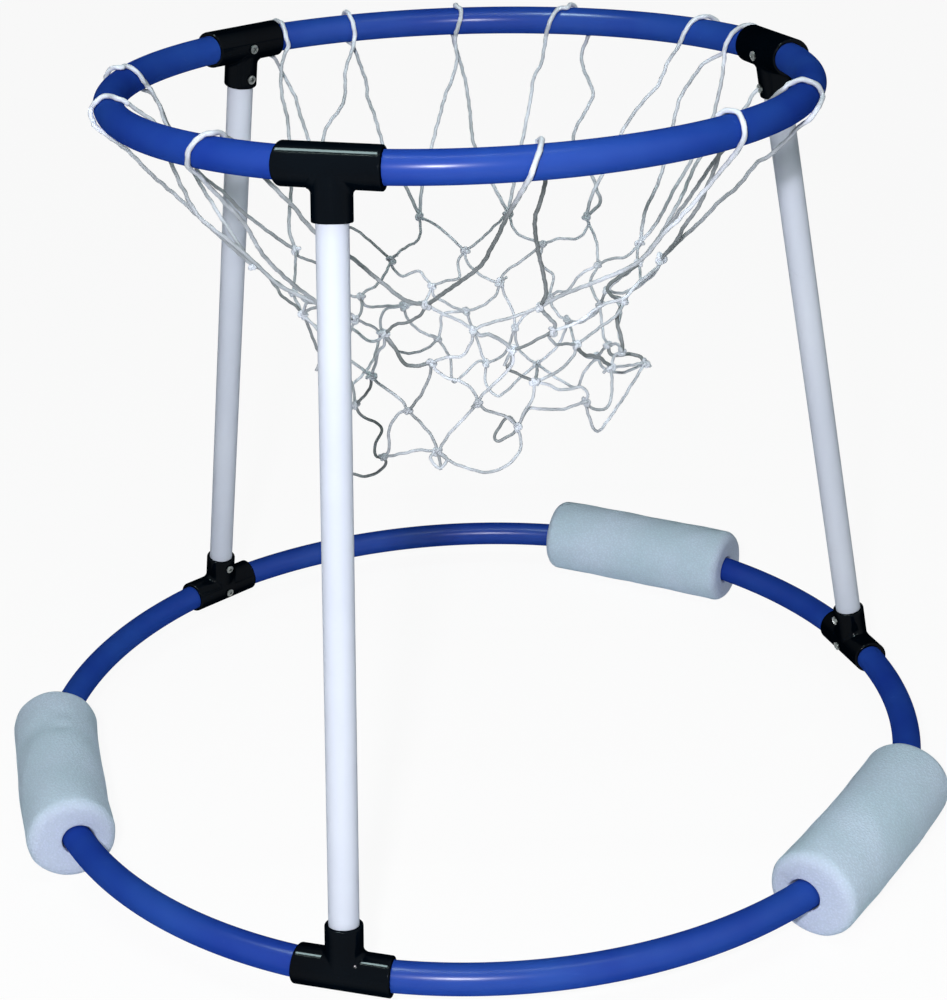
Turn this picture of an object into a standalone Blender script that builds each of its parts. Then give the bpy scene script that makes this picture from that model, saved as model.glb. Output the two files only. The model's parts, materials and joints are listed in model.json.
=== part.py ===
# Floating basketball hoop for a pool: two blue tube hoops held apart by three white pipes in
# slip-on tees, three foam floats threaded on the lower hoop, and a knotted net on the upper one.
# Metres, +Z up. The floats' bottoms are at z = 0 and the whole is centred on x = y = 0.

import bpy
import bmesh
import math
import random
from mathutils import Matrix, Vector

# Overall sizes
UPPER_RADIUS = 0.250        # hoop axis to the middle of the upper tube
LOWER_RADIUS = 0.350        # hoop axis to the middle of the lower tube
HOOP_SPACING = 0.525        # between the middles of the two tubes
LEG_ANGLES = {              # degrees round each hoop, so a leg may lean sideways a little
    "upper": {"front": 251.7, "right": 17.9, "left": 134.2},
    "lower": {"front": 254.3, "right": 17.3, "left": 134.2},
}
JOINED_AT = "front"         # both hoops' ends meet inside this leg's tees

# Blue hoop tube and the plug that joins its ends
HOOP_OD = 0.022
HOOP_WALL = 0.0016
END_GAP = 0.0006            # between the two ends of a hoop
PLUG_LENGTH = 0.060
PLUG_CLEARANCE = 0.0003

# White leg pipe
PIPE_OD = 0.021
PIPE_WALL = 0.0016
PIPE_END_CLEARANCE = 0.0015  # from a pipe's end to the hoop's bore in the tee

# Black slip-on tee
TEE_WALL = 0.0024
TEE_CLEARANCE = 0.0003
TEE_RUN_LENGTH = 0.068
TEE_STEM_LENGTH = 0.0343    # from the middle of the run to the end of the stem
TEE_CHAMFER = 0.0010

# Self-tapping screw
SCREW_HEAD_OD = 0.0072
SCREW_HEAD_HEIGHT = 0.0022
SCREW_SHANK_OD = 0.0030
SCREW_SHANK_LENGTH = 0.0080
SCREW_POINT_LENGTH = 0.0025
SCREW_RECESS_OD = 0.0034
SCREW_RECESS_DEPTH = 0.0012
SCREW_CLEARANCE = 0.0003
STEM_SCREW_REACH = 0.026    # from the middle of the run to the screw in the stem

# Foam float
FLOAT_OD = 0.068
FLOAT_BORE = 0.0286
FLOAT_LENGTH = 0.182
FLOAT_BEND_RADIUS = 0.560   # the foam takes more than half of the hoop's bend
FLOAT_ROUNDING = 0.004
FLOAT_ANGLES = {"left": 194.7, "right": 325.3, "back": 61.2}

# Net: where its loops pass over the hoop, then one (radius, drop) for each row of knots
CORD_DIAMETER = 0.0028
LOOP_SLACK = 0.0008         # between the cord and the tube that it loops over
LOOP_ANGLES = (29.4, 41.4, 71.4, 89.8, 110.4, 125.2, 165.0, 189.0, 229.0, 280.4, 314.2, 342.8)
KNOT_ROWS = ((0.150, 0.136), (0.117, 0.157), (0.099, 0.182), (0.097, 0.209), (0.102, 0.242))
KNOT_DIAMETER = 0.0064
KNOT_SCATTER = 0.004        # how far a knot strays from its row
NET_LEAN = 0.026            # how far the lowest row hangs towards +X
HEM_SAG = 0.027             # drop of the loops below the last row

# Fineness
TUBE_SIDES = 12
TEE_SIDES = 12
SCREW_SIDES = 8
FLOAT_SIDES = 20
FLOAT_STEPS = 6
CORD_SIDES = 5
ARC_STEPS_IN_TEE = 5        # odd, so that no ring of points meets the screw's hole
ARC_STEPS_BETWEEN = {"upper": 11, "lower": 15}   # finer where the floats slide
HOLE_TURN = 0.2             # radians, so that a hole's edges miss the tube's own
CUT_MARGIN = 0.004          # how far a cutter runs past what it cuts
WELD_DISTANCE = 0.00001     # points closer than this are one
SECTION_START = Vector((0.31, 0.17, 0.93))   # no strand runs this way, so a section can start from it

HOOP_HEIGHT = FLOAT_OD / 2 * math.cos(math.pi / FLOAT_SIDES)   # the lower tube's middle
HOOPS = {
    "upper": (UPPER_RADIUS, HOOP_HEIGHT + HOOP_SPACING),
    "lower": (LOWER_RADIUS, HOOP_HEIGHT),
}
TEE_OD = HOOP_OD + 2 * (TEE_CLEARANCE + TEE_WALL)
STEM_OD = PIPE_OD + 2 * (TEE_CLEARANCE + TEE_WALL)

for old in list(bpy.data.objects):
    bpy.data.objects.remove(old, do_unlink=True)
parts = bpy.data.collections.new("floating_basketball_hoop")
cutters = bpy.data.collections.new("cutters")
bpy.context.scene.collection.children.link(parts)
bpy.context.scene.collection.children.link(cutters)


def material(name, colour, roughness, metallic=0.0):
    made = bpy.data.materials.new(name)
    made.use_nodes = True
    shader = made.node_tree.nodes["Principled BSDF"]
    shader.inputs["Base Color"].default_value = (*colour, 1)
    shader.inputs["Roughness"].default_value = roughness
    shader.inputs["Metallic"].default_value = metallic
    return made


BLUE_TUBE = material("blue_polyethylene", (0.02, 0.06, 0.42), 0.35)
WHITE_PIPE = material("white_pvc", (0.80, 0.83, 0.88), 0.40)
BLACK_TEE = material("black_pvc", (0.008, 0.010, 0.012), 0.30)
GREY_PLUG = material("grey_polyethylene", (0.30, 0.32, 0.35), 0.50)
STEEL = material("zinc_plated_steel", (0.60, 0.62, 0.65), 0.30, 1.0)
FOAM = material("pale_foam", (0.55, 0.65, 0.70), 0.90)
CORD = material("white_cord", (0.75, 0.79, 0.80), 0.70)


def add_object(name, mesh, finish, where=parts):
    made = bpy.data.objects.new(name, mesh)
    where.objects.link(made)
    if finish:
        mesh.materials.clear()
        mesh.materials.append(finish)
    return made


def add_cutter(name, mesh):
    made = add_object(name, mesh, None, cutters)
    made.hide_render = True
    made.display_type = "WIRE"
    return made


def cut(target, cutter, operation="DIFFERENCE"):
    step = target.modifiers.new(cutter.name, "BOOLEAN")
    step.operation = operation
    step.solver = "EXACT"
    step.object = cutter


def bevel(target, width, segments, least_angle):
    step = target.modifiers.new("rims", "BEVEL")
    step.width = width
    step.segments = segments
    step.limit_method = "ANGLE"
    step.angle_limit = math.radians(least_angle)


def shell(target, thickness):
    step = target.modifiers.new("wall", "SOLIDIFY")
    step.thickness = thickness
    step.offset = -1
    step.use_even_offset = True


def shade(mesh, angle=40):
    mesh.shade_smooth()
    mesh.set_sharp_from_angle(angle=math.radians(angle))


def on_circle(radius, degrees, height=0.0):
    angle = math.radians(degrees)
    return Vector((radius * math.cos(angle), radius * math.sin(angle), height))


def outward(degrees):
    return on_circle(1.0, degrees)


def along(degrees):
    return on_circle(1.0, degrees + 90)


# A tube is a poly curve with a round bevel, made a mesh and welded. sides is even, 4 or more.
def tube_mesh(name, points, diameter, sides, capped=True, turn=0.0):
    curve = bpy.data.curves.new(name, "CURVE")
    curve.dimensions = "3D"
    curve.twist_mode = "Z_UP"
    curve.bevel_depth = diameter / 2
    curve.bevel_resolution = (sides - 4) // 2
    curve.use_fill_caps = capped
    spline = curve.splines.new("POLY")
    spline.points.add(len(points) - 1)
    for place, point in zip(spline.points, points):
        place.co = (*point, 1)
        place.tilt = turn
    holder = bpy.data.objects.new(name, curve)
    bpy.context.scene.collection.objects.link(holder)
    graph = bpy.context.evaluated_depsgraph_get()
    mesh = bpy.data.meshes.new_from_object(holder.evaluated_get(graph))
    bpy.data.objects.remove(holder, do_unlink=True)
    welded = bmesh.new()
    welded.from_mesh(mesh)
    bmesh.ops.remove_doubles(welded, verts=welded.verts, dist=WELD_DISTANCE)
    bmesh.ops.recalc_face_normals(welded, faces=welded.faces)
    welded.to_mesh(mesh)
    welded.free()
    mesh.name = name
    shade(mesh)
    return mesh


# Degrees from a tee's middle at which the tube and everything round it have their points.
def tee_steps(radius):
    zone = math.degrees((TEE_RUN_LENGTH / 2 + CUT_MARGIN) / radius)
    return [zone * (2 * i / ARC_STEPS_IN_TEE - 1) for i in range(ARC_STEPS_IN_TEE + 1)]


# Points along the hoop, half_length each way. Both ends lie on a chord of the hoop's polyline.
def tee_arc(radius, height, middle, half_length):
    half = math.degrees(half_length / radius)
    steps = tee_steps(radius)
    inside = [step for step in steps if abs(step) < half - 0.01]
    near = inside[-1]
    far = min(step for step in steps if step > near)
    share = (half - near) / (far - near)
    points = [on_circle(radius, middle + step, height) for step in inside]
    start = points[0].lerp(on_circle(radius, middle - far, height), share)
    end = points[-1].lerp(on_circle(radius, middle + far, height), share)
    return [start] + points + [end]


def hoop_points(level):
    radius, height = HOOPS[level]
    joint = LEG_ANGLES[level][JOINED_AT]
    gap = math.degrees(END_GAP / 2 / radius)
    steps = tee_steps(radius)
    count = ARC_STEPS_BETWEEN[level]
    tees =sorted(angle + 360 if angle < joint else angle for angle in LEG_ANGLES[level].values())
    tees.append(joint + 360)
    angles = [joint + gap] + [joint + step for step in steps if step > gap]
    for last, following in zip(tees, tees[1:]):
        start, end = last + steps[-1], following + steps[0]
        between = (end - start) / count
        angles += [start + between * i for i in range(1, count)]
        angles += [following + step for step in steps if following + step < joint + 360 - gap]
    angles.append(joint + 360 - gap)
    return [on_circle(radius, angle, height) for angle in angles]


def hoop(level):
    label = level + "_hoop"
    mesh = tube_mesh(label, hoop_points(level), HOOP_OD, TUBE_SIDES, capped=False)
    made = add_object(label, mesh, BLUE_TUBE)
    shell(made, HOOP_WALL)
    return made


def plug(level):
    label = level + "_hoop_plug"
    points = tee_arc(*HOOPS[level], LEG_ANGLES[level][JOINED_AT], PLUG_LENGTH / 2)
    size = HOOP_OD - 2 * (HOOP_WALL + PLUG_CLEARANCE)
    return add_object(label, tube_mesh(label, points, size, TUBE_SIDES), GREY_PLUG)


# Where a leg meets a hoop, and which way it leaves it.
def leg_end(level, name):
    ends = {}
    for each, (radius, height) in HOOPS.items():
        ends[each] = on_circle(radius, LEG_ANGLES[each][name], height)
    other = "lower" if level == "upper" else "upper"
    return ends[level], (ends[other] - ends[level]).normalized()


def pipe(name):
    inset = HOOP_OD / 2 + TEE_CLEARANCE + PIPE_END_CLEARANCE
    ends = [centre + way * inset for centre, way in (leg_end(level, name) for level in HOOPS)]
    mesh = tube_mesh("leg_" + name, ends, PIPE_OD, TEE_SIDES, capped=False)
    made = add_object("leg_" + name, mesh, WHITE_PIPE)
    shell(made, PIPE_WALL)
    return made


def tee(level, name):
    label = level + "_tee_" + name
    ring = (*HOOPS[level], LEG_ANGLES[level][name])
    centre, stem = leg_end(level, name)
    run = tube_mesh(label, tee_arc(*ring, TEE_RUN_LENGTH / 2), TEE_OD, TEE_SIDES)
    made = add_object(label, run, BLACK_TEE)
    bevel(made, TEE_CHAMFER, 1, 60)
    neck = tube_mesh(label + "_stem", [centre, centre + stem * TEE_STEM_LENGTH], STEM_OD, TEE_SIDES)
    neck_object = add_cutter(label + "_stem", neck)
    bevel(neck_object, TEE_CHAMFER, 1, 60)
    cut(made, neck_object, "UNION")
    bore_points = tee_arc(*ring, TEE_RUN_LENGTH / 2 + CUT_MARGIN * 0.9)
    bore = tube_mesh(label + "_bore", bore_points, HOOP_OD + 2 * TEE_CLEARANCE, TUBE_SIDES)
    cut(made, add_cutter(label + "_bore", bore))
    socket_points = [centre + stem * HOOP_OD * 0.3, centre + stem * (TEE_STEM_LENGTH + CUT_MARGIN)]
    socket = tube_mesh(label + "_socket", socket_points, PIPE_OD + 2 * TEE_CLEARANCE, TEE_SIDES)
    cut(made, add_cutter(label + "_socket", socket))
    return made


# A screw's profile turns about its own axis: the head sits on z = 0 and the shank points down.
def screw_mesh():
    head, shank, recess = SCREW_HEAD_OD / 2, SCREW_SHANK_OD / 2, SCREW_RECESS_OD / 2
    top = SCREW_HEAD_HEIGHT
    profile = [
        (0, top - SCREW_RECESS_DEPTH),
        (recess * 0.7, top - SCREW_RECESS_DEPTH),
        (recess, top),
        (head * 0.75, top * 0.88),
        (head, top * 0.40),
        (head, 0),
        (shank, 0),
        (shank, -SCREW_SHANK_LENGTH),
        (0, -SCREW_SHANK_LENGTH - SCREW_POINT_LENGTH),
    ]
    turned = bmesh.new()
    points = [turned.verts.new((x, 0, z)) for x, z in profile]
    edges = [turned.edges.new(pair) for pair in zip(points, points[1:])]
    bmesh.ops.spin(
        turned,
        geom=points + edges,
        cent=(0, 0, 0),
        axis=(0, 0, 1),
        angle=2 * math.pi,
        steps=SCREW_SIDES,
        use_merge=True,
    )
    bmesh.ops.remove_doubles(turned, verts=turned.verts, dist=WELD_DISTANCE)
    bmesh.ops.recalc_face_normals(turned, faces=turned.faces)
    mesh = bpy.data.meshes.new("screw")
    turned.to_mesh(mesh)
    turned.free()
    shade(mesh)
    mesh.materials.append(STEEL)
    return mesh


# Every screw goes in from the hoop's inner side: one through the run, one through the stem.
def screw_places(level, name):
    centre, stem = leg_end(level, name)
    face = stem.cross(along(LEG_ANGLES[level][name])).normalized()
    if face.dot(outward(LEG_ANGLES[level][name])) > 0:
        face.negate()
    yield "run", centre, face, TEE_OD / 2
    yield "stem", centre + stem * STEM_SCREW_REACH, face, STEM_OD / 2


def screws(level, name, mesh, bored):
    for where, centre, face, radius in screw_places(level, name):
        label = f"{level}_{name}_{where}_screw"
        made = add_object(label, mesh, None)
        turn = face.to_track_quat("Z", "Y").to_matrix().to_4x4()
        made.matrix_world = Matrix.Translation(centre + face * (radius + SCREW_CLEARANCE)) @ turn
        hole = tube_mesh(
            label + "_hole",
            [centre + face * (radius + CUT_MARGIN), centre - face * 0.001],
            SCREW_SHANK_OD + 2 * SCREW_CLEARANCE,
            SCREW_SIDES,
            turn=HOLE_TURN,
        )
        cutter = add_cutter(label + "_hole", hole)
        for target in bored[where]:
            cut(target, cutter)


# The float is straighter than the hoop, so its middle lies inside the tube's circle and its
# ends lie outside, by the same amount.
def float_points(middle, length):
    half = FLOAT_LENGTH / 2
    bend = FLOAT_BEND_RADIUS
    sag_hoop = LOWER_RADIUS - math.sqrt(LOWER_RADIUS ** 2 - half ** 2)
    sag_float = bend - math.sqrt(bend ** 2 - half ** 2)
    offset = LOWER_RADIUS - (sag_hoop - sag_float) / 2 - bend
    centre = outward(middle) * offset + Vector((0, 0, HOOP_HEIGHT))
    reach = math.degrees(length / 2 / bend)
    angles = [middle + reach * (2 * i / FLOAT_STEPS - 1) for i in range(FLOAT_STEPS + 1)]
    return [centre + on_circle(bend, angle) for angle in angles]


# A float slides round the hoop, so it hangs from an empty on the hoop's axis.
def foam_float(name):
    label = "float_" + name
    middle = FLOAT_ANGLES[name]
    axis = bpy.data.objects.new(label + "_axis", None)
    parts.objects.link(axis)
    facet_down = math.pi / FLOAT_SIDES
    points = float_points(middle, FLOAT_LENGTH)
    mesh = tube_mesh(label, points, FLOAT_OD, FLOAT_SIDES, turn=facet_down)
    made = add_object(label, mesh, FOAM)
    made.parent = axis
    bevel(made, FLOAT_ROUNDING, 2, 60)
    bore_points = float_points(middle, FLOAT_LENGTH + 2 * CUT_MARGIN)
    bore = tube_mesh(label + "_bore", bore_points, FLOAT_BORE, TUBE_SIDES)
    cut(made, add_cutter(label + "_bore", bore))
    return made


# Each row of knots lies half-way round between the places above it.
def knot_places():
    scatter = random.Random(5)
    angles = list(LOOP_ANGLES)
    rows = []
    for row, (radius, drop) in enumerate(KNOT_ROWS):
        angles = [(a + b) / 2 for a, b in zip(angles, angles[1:] + [angles[0] + 360])]
        share = row / (len(KNOT_ROWS) - 1)
        knots = []
        for angle in angles:
            place = on_circle(radius, angle, HOOPS["upper"][1] - drop)
            place.x += NET_LEAN * share
            stray = [scatter.uniform(-1, 1) * KNOT_SCATTER * (0.4 + 0.6 * share) for _ in range(3)]
            knots.append(place + Vector(stray))
        rows.append(knots)
    return rows


def loop_over_hoop(angle):
    radius, height = HOOPS["upper"]
    centre = on_circle(radius, angle, height)
    reach = HOOP_OD / 2 + CORD_DIAMETER / 2 + LOOP_SLACK
    slope = math.degrees(math.atan2(radius - KNOT_ROWS[0][0], KNOT_ROWS[0][1]))
    steps = 7
    points = []
    for i in range(steps + 1):
        around = math.radians(180 + slope - 180 * i / steps)
        side = -outward(angle) * math.cos(around) + Vector((0, 0, math.sin(around)))
        points.append(centre + side * reach + along(angle) * CORD_DIAMETER * (2 * i / steps - 1))
    return points


def sagging(start, end, steps, sag):
    shares = [i / steps for i in range(steps + 1)]
    return [start.lerp(end, s) - Vector((0, 0, 4 * sag * s * (1 - s))) for s in shares]


# A strand is (first knot, last knot, the points between them). A knot is (row, column).
def net_strands(rows):
    count = len(LOOP_ANGLES)
    last = len(rows) - 1
    strands = []
    for i, angle in enumerate(LOOP_ANGLES):
        loop = loop_over_hoop(angle)
        before = (i - 1) % count
        up = [rows[0][before].lerp(loop[0], share) for share in (0.35, 0.7)]
        down = [loop[-1].lerp(rows[0][i], share) for share in (0.3, 0.65)]
        strands.append(((0, before), (0, i), up + loop + down))
    for row in range(last):
        for i in range(count):
            for column in (i, (i + 1) % count):
                points = sagging(rows[row][column], rows[row + 1][i], 3, CORD_DIAMETER)
                strands.append(((row, column), (row + 1, i), points[1:-1]))
    for i in range(count):
        following = (i + 1) % count
        points = sagging(rows[last][i], rows[last][following], 5, HEM_SAG)
        strands.append(((last, i), (last, following), points[1:-1]))
    return strands


# The cord's section is carried along the points, turned no more than the path turns.
def add_strand(mesh, points):
    rings = []
    side = None
    for i, point in enumerate(points):
        before, after = points[max(i - 1, 0)], points[min(i + 1, len(points) - 1)]
        way = (after - before).normalized()
        if side is None:
            side = way.cross(SECTION_START)
        side = (side - way * side.dot(way)).normalized()
        other = way.cross(side)
        ring = []
        for k in range(CORD_SIDES):
            angle = 2 * math.pi * (k + 0.5) / CORD_SIDES
            corner = side * math.cos(angle) + other * math.sin(angle)
            ring.append(mesh.verts.new(point + corner * CORD_DIAMETER / 2))
        rings.append(ring)
    for first, second in zip(rings, rings[1:]):
        for k in range(CORD_SIDES):
            j = (k + 1) % CORD_SIDES
            mesh.faces.new((first[k], first[j], second[j], second[k]))
    return rings[0], rings[-1]


# A strand starts far enough from its knot for the sections of its neighbours to stay clear.
def knot_reach(ways):
    least = min(a.angle(b) for i, a in enumerate(ways) for b in ways[:i])
    return max(KNOT_DIAMETER / 2, 1.15 * CORD_DIAMETER / 2 / math.tan(least / 2))


# A knot is the hull of the cord sections that meet there, open where each strand starts.
def add_knot(mesh, rings):
    corners = [corner for ring in rings for corner in ring]
    hull = bmesh.ops.convex_hull(mesh, input=corners, use_existing_faces=False)
    faces = [piece for piece in hull["geom"] if isinstance(piece, bmesh.types.BMFace)]
    caps = [face for face in faces if any(set(face.verts) <= set(ring) for ring in rings)]
    bmesh.ops.delete(mesh, geom=caps, context="FACES")


def net():
    rows = knot_places()
    strands = net_strands(rows)
    ways = {}
    for first, last, points in strands:
        for knot, nearest in ((first, points[0]), (last, points[-1])):
            way = (nearest - rows[knot[0]][knot[1]]).normalized()
            ways.setdefault(knot, []).append(way)
    reach = {knot: knot_reach(found) for knot, found in ways.items()}
    made = bmesh.new()
    ends = {knot: [] for knot in reach}
    for first, last, points in strands:
        start, end = rows[first[0]][first[1]], rows[last[0]][last[1]]
        start = start + (points[0] - start).normalized() * reach[first]
        end = end + (points[-1] - end).normalized() * reach[last]
        first_ring, last_ring = add_strand(made, [start] + points + [end])
        ends[first].append(first_ring)
        ends[last].append(last_ring)
    for rings in ends.values():
        add_knot(made, rings)
    bmesh.ops.recalc_face_normals(made, faces=made.faces)
    mesh = bpy.data.meshes.new("net")
    made.to_mesh(mesh)
    made.free()
    shade(mesh)
    return add_object("net", mesh, CORD)


# Everything was made about the hoops' axis. This moves it so that the whole is centred.
def centre_on_origin():
    bpy.context.view_layer.update()
    graph = bpy.context.evaluated_depsgraph_get()
    corners = []
    for made in parts.objects:
        if made.type == "MESH":
            placed = made.evaluated_get(graph)
            corners += [placed.matrix_world @ Vector(corner) for corner in placed.bound_box]
    shift = Vector((0, 0, 0))
    for i in (0, 1):
        values = [corner[i] for corner in corners]
        shift[i] = -(min(values) + max(values)) / 2
    for made in list(parts.objects) + list(cutters.objects):
        if made.parent is None:
            made.matrix_world = Matrix.Translation(shift) @ made.matrix_world
    print("hoop axis at", tuple(round(value, 6) for value in shift))


hoops = {level: hoop(level) for level in HOOPS}
plugs = {level: plug(level) for level in HOOPS}
screw = screw_mesh()
for leg in LEG_ANGLES["upper"]:
    leg_pipe = pipe(leg)
    for level in HOOPS:
        fitting = tee(level, leg)
        through_run = [fitting, hoops[level]] + ([plugs[level]] if leg == JOINED_AT else [])
        screws(level, leg, screw, {"run": through_run, "stem": [fitting, leg_pipe]})
for side in FLOAT_ANGLES:
    foam_float(side)
net()
centre_on_origin()
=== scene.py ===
# Looks for the floating basketball hoop: smooth tubes, pipes, tees, screws, foam floats and a corded net.
# Metres, in the CAD's own frame. Every piece is a surface worked out with numpy on the CAD's measures.
import json
import math

import bpy
import numpy as np
from mathutils import Matrix, Vector


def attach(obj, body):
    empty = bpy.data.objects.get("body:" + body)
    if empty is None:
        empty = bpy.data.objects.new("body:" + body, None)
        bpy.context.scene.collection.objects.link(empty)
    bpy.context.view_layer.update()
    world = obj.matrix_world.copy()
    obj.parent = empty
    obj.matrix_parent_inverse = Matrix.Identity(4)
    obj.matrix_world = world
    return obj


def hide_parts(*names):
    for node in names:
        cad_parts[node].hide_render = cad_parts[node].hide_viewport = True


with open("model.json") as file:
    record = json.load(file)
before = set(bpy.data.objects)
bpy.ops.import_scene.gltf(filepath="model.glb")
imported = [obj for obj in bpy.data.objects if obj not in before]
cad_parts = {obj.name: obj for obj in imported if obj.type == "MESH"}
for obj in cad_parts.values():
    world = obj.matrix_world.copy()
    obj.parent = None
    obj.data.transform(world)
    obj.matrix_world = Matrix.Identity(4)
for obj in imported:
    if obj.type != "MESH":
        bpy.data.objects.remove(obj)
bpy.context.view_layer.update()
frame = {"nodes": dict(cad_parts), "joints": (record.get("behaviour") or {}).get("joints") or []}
axis = np.array(frame["joints"][0]["pos_m"])   # on the rings' upright axis, at the lower ring's height
print("stage: frame loaded,", len(frame["nodes"]), "CAD nodes")

up = np.array([0.0, 0.0, 1.0])
rings = {
    "upper": {"radius": 0.250, "height": axis[2] + 0.525},
    "lower": {"radius": 0.350, "height": axis[2]},
}
legAngles = {   # degrees round the axis, at the upper and at the lower ring
    "front": {"upper": 251.7, "lower": 254.3},
    "right": {"upper": 17.9, "lower": 17.3},
    "left": {"upper": 134.2, "lower": 134.2},
}
tube = {"diameter": 0.022, "sides": 56, "steps": 300}
pipe = {"diameter": 0.021, "wall": 0.0016, "sides": 56, "steps": 24, "endInset": 0.0128}


# Unit vectors: each row divided by its own length.
def unit(vectors):
    vectors = np.asarray(vectors, float)
    return vectors / np.linalg.norm(vectors, axis=-1, keepdims=True)


# Outward direction at an angle: (cos a, sin a, 0).
def outward(degrees):
    a = np.radians(degrees)
    return np.stack([np.cos(a), np.sin(a), np.zeros_like(a)], -1)


# Points on a ring's centre line: axis + radius * outward, at the ring's height.
def onRing(level, degrees, inward=0.0):
    points = axis + (rings[level]["radius"] - inward) * outward(np.asarray(degrees, float))
    points[..., 2] = rings[level]["height"]
    return points


# Part of the way from one value to another: start + (end - start) * share.
def between(start, end, share):
    return start + (end - start) * share


# Smooth repeatable noise: a sum of sines whose rates and phases come from the seed.
def wander(values, seed, waves=5, slowest=1.0, fastest=4.0):
    draw = np.random.default_rng(seed)
    rate = draw.uniform(slowest, fastest, waves)
    phase = draw.uniform(0, 2 * np.pi, waves)
    return np.sin(np.asarray(values)[..., None] * rate + phase).mean(-1)


# Four-sided faces between neighbouring rows of a grid numbered row by row; its columns close on themselves.
def gridFaces(rows, columns, closedRows=False):
    r = np.arange(rows if closedRows else rows - 1)[:, None]
    c = np.arange(columns)[None, :]
    r2, c2 = (r + 1) % rows, (c + 1) % columns
    corners = [r * columns + c, r * columns + c2, r2 * columns + c2, r2 * columns + c]
    return np.stack(corners, -1).reshape(-1, 4)


# UV of the same faces: u runs along the rows by the given lengths, v once round the columns.
def gridUv(lengths, columns, closedRows=False):
    rows = len(lengths)
    r = np.arange(rows if closedRows else rows - 1)
    after = np.append(lengths[1:], lengths[-1] + np.diff(lengths).mean())[r]
    c = np.arange(columns)
    u1, v1 = np.meshgrid(lengths[r], c / columns, indexing="ij")
    u2, v2 = np.meshgrid(after, (c + 1) / columns, indexing="ij")
    pairs = [(u1, v1), (u1, v2), (u2, v2), (u2, v1)]
    return np.stack([np.stack(pair, -1) for pair in pairs], 2).reshape(-1, 2)


# The first and the last row of a grid, each as one flat face; the first is turned round to face outwards.
def capsOf(rows, columns):
    return np.arange(columns)[::-1], (rows - 1) * columns + np.arange(columns)


# A section carried along a line: corner j of row k lies at
# centre k + radius kj * (side k * cos(angle j) + other k * sin(angle j)), where other = way x side.
def carried(centres, sides, ways, radii, angles):
    side = unit(sides - ways * (sides * ways).sum(-1, keepdims=True))
    other = np.cross(ways, side)
    turn = np.atleast_2d(angles)
    radii = np.broadcast_to(radii, (len(centres), turn.shape[1]))[..., None]
    section = side[:, None] * np.cos(turn)[..., None] + other[:, None] * np.sin(turn)[..., None]
    return centres[:, None] + radii * section


# A profile of (distance, radius) turned about the way from start, with angle 0 at hint.
def turned(profile, start, way, hint, sides):
    profile = np.asarray(profile, float)
    centres = start + profile[:, :1] * way
    count = len(profile)
    return carried(centres, np.tile(hint, (count, 1)), np.tile(way, (count, 1)), profile[:, 1:], fullTurn(sides))


# Even angles once round: 2 pi k / count.
def fullTurn(count):
    return np.arange(count) * 2 * np.pi / count


# Directions along a line, from each point's neighbours.
def tangents(path):
    return unit(np.gradient(path, axis=0))


# Distance along a line up to each of its points.
def lengthAlong(path):
    return np.append(0, np.cumsum(np.linalg.norm(np.diff(path, axis=0), axis=1)))


# One object that carries a mesh, a lamp or a camera.
def addObject(name, data):
    made = bpy.data.objects.new(name, data)
    bpy.context.scene.collection.objects.link(made)
    return made


# A mesh from a grid's points and faces, with one flat face more for each of caps.
def addMesh(name, points, faces, caps=()):
    mesh = bpy.data.meshes.new(name)
    flatFaces = [[int(corner) for corner in cap] for cap in caps]
    mesh.from_pydata(points.reshape(-1, 3).tolist(), [], faces.tolist() + flatFaces)
    return mesh


# A grid's UV put into its mesh; the flat faces of caps come last and stay at zero.
def addUv(mesh, uv):
    layer = mesh.uv_layers.new(name="along")
    flat = np.zeros((len(mesh.loops), 2), np.float32)
    flat[:len(uv)] = uv
    layer.data.foreach_set("uv", flat.ravel())


# A value at each of the mesh's points, for its material to read.
def addAttribute(mesh, name, values):
    mesh.attributes.new(name, "FLOAT", "POINT").data.foreach_set("value", values.astype(np.float32))


# A mesh made a piece of the object: its finish, its body, and the CAD nodes that it takes the place of.
def addPiece(name, mesh, finish, stands, body="frame", sharp=35):
    mesh.materials.clear()
    mesh.materials.append(finish)
    mesh.shade_smooth()
    mesh.set_sharp_from_angle(angle=math.radians(sharp))
    piece = addObject(name, mesh)
    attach(piece, body)
    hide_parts(*stands)
    return piece


# A shader group and its two ends. Inputs are (name, kind, value) and outputs (name, kind).
def newGroup(name, inputs, outputs):
    group = bpy.data.node_groups.new(name, "ShaderNodeTree")
    for label, kind, value in inputs:
        socket = group.interface.new_socket(name=label, in_out="INPUT", socket_type="NodeSocket" + kind)
        socket.default_value = value
    for label, kind in outputs:
        group.interface.new_socket(name=label, in_out="OUTPUT", socket_type="NodeSocket" + kind)
    start = group.nodes.new("NodeGroupInput")
    end = group.nodes.new("NodeGroupOutput")
    return group, start.outputs, end.inputs


# A node with its settings; each entry of links is a socket to join or a value to set.
def addNode(tree, kind, links=(), **settings):
    node = tree.nodes.new(kind)
    for key, value in settings.items():
        setattr(node, key, value)
    for socket, source in dict(links).items():
        if isinstance(source, bpy.types.NodeSocket):
            tree.links.new(source, node.inputs[socket])
        else:
            node.inputs[socket].default_value = source
    return node


# The first colour where share is 0, the second where it is 1.
def mixColours(tree, share, first, second):
    return addNode(tree, "ShaderNodeMix", {0: share, 6: first, 7: second}, data_type="RGBA").outputs[2]


# A value carried from one range to another and kept inside it.
def mapRange(tree, value, fromLow, fromHigh, toLow=0.0, toHigh=1.0):
    links = {"Value": value, "From Min": fromLow, "From Max": fromHigh, "To Min": toLow, "To Max": toHigh}
    return addNode(tree, "ShaderNodeMapRange", links).outputs["Result"]


def noise(tree, place, scale, detail, **more):
    links = {"Vector": place, "Scale": scale, "Detail": detail, **more}
    return addNode(tree, "ShaderNodeTexNoise", links).outputs["Fac"]


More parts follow.
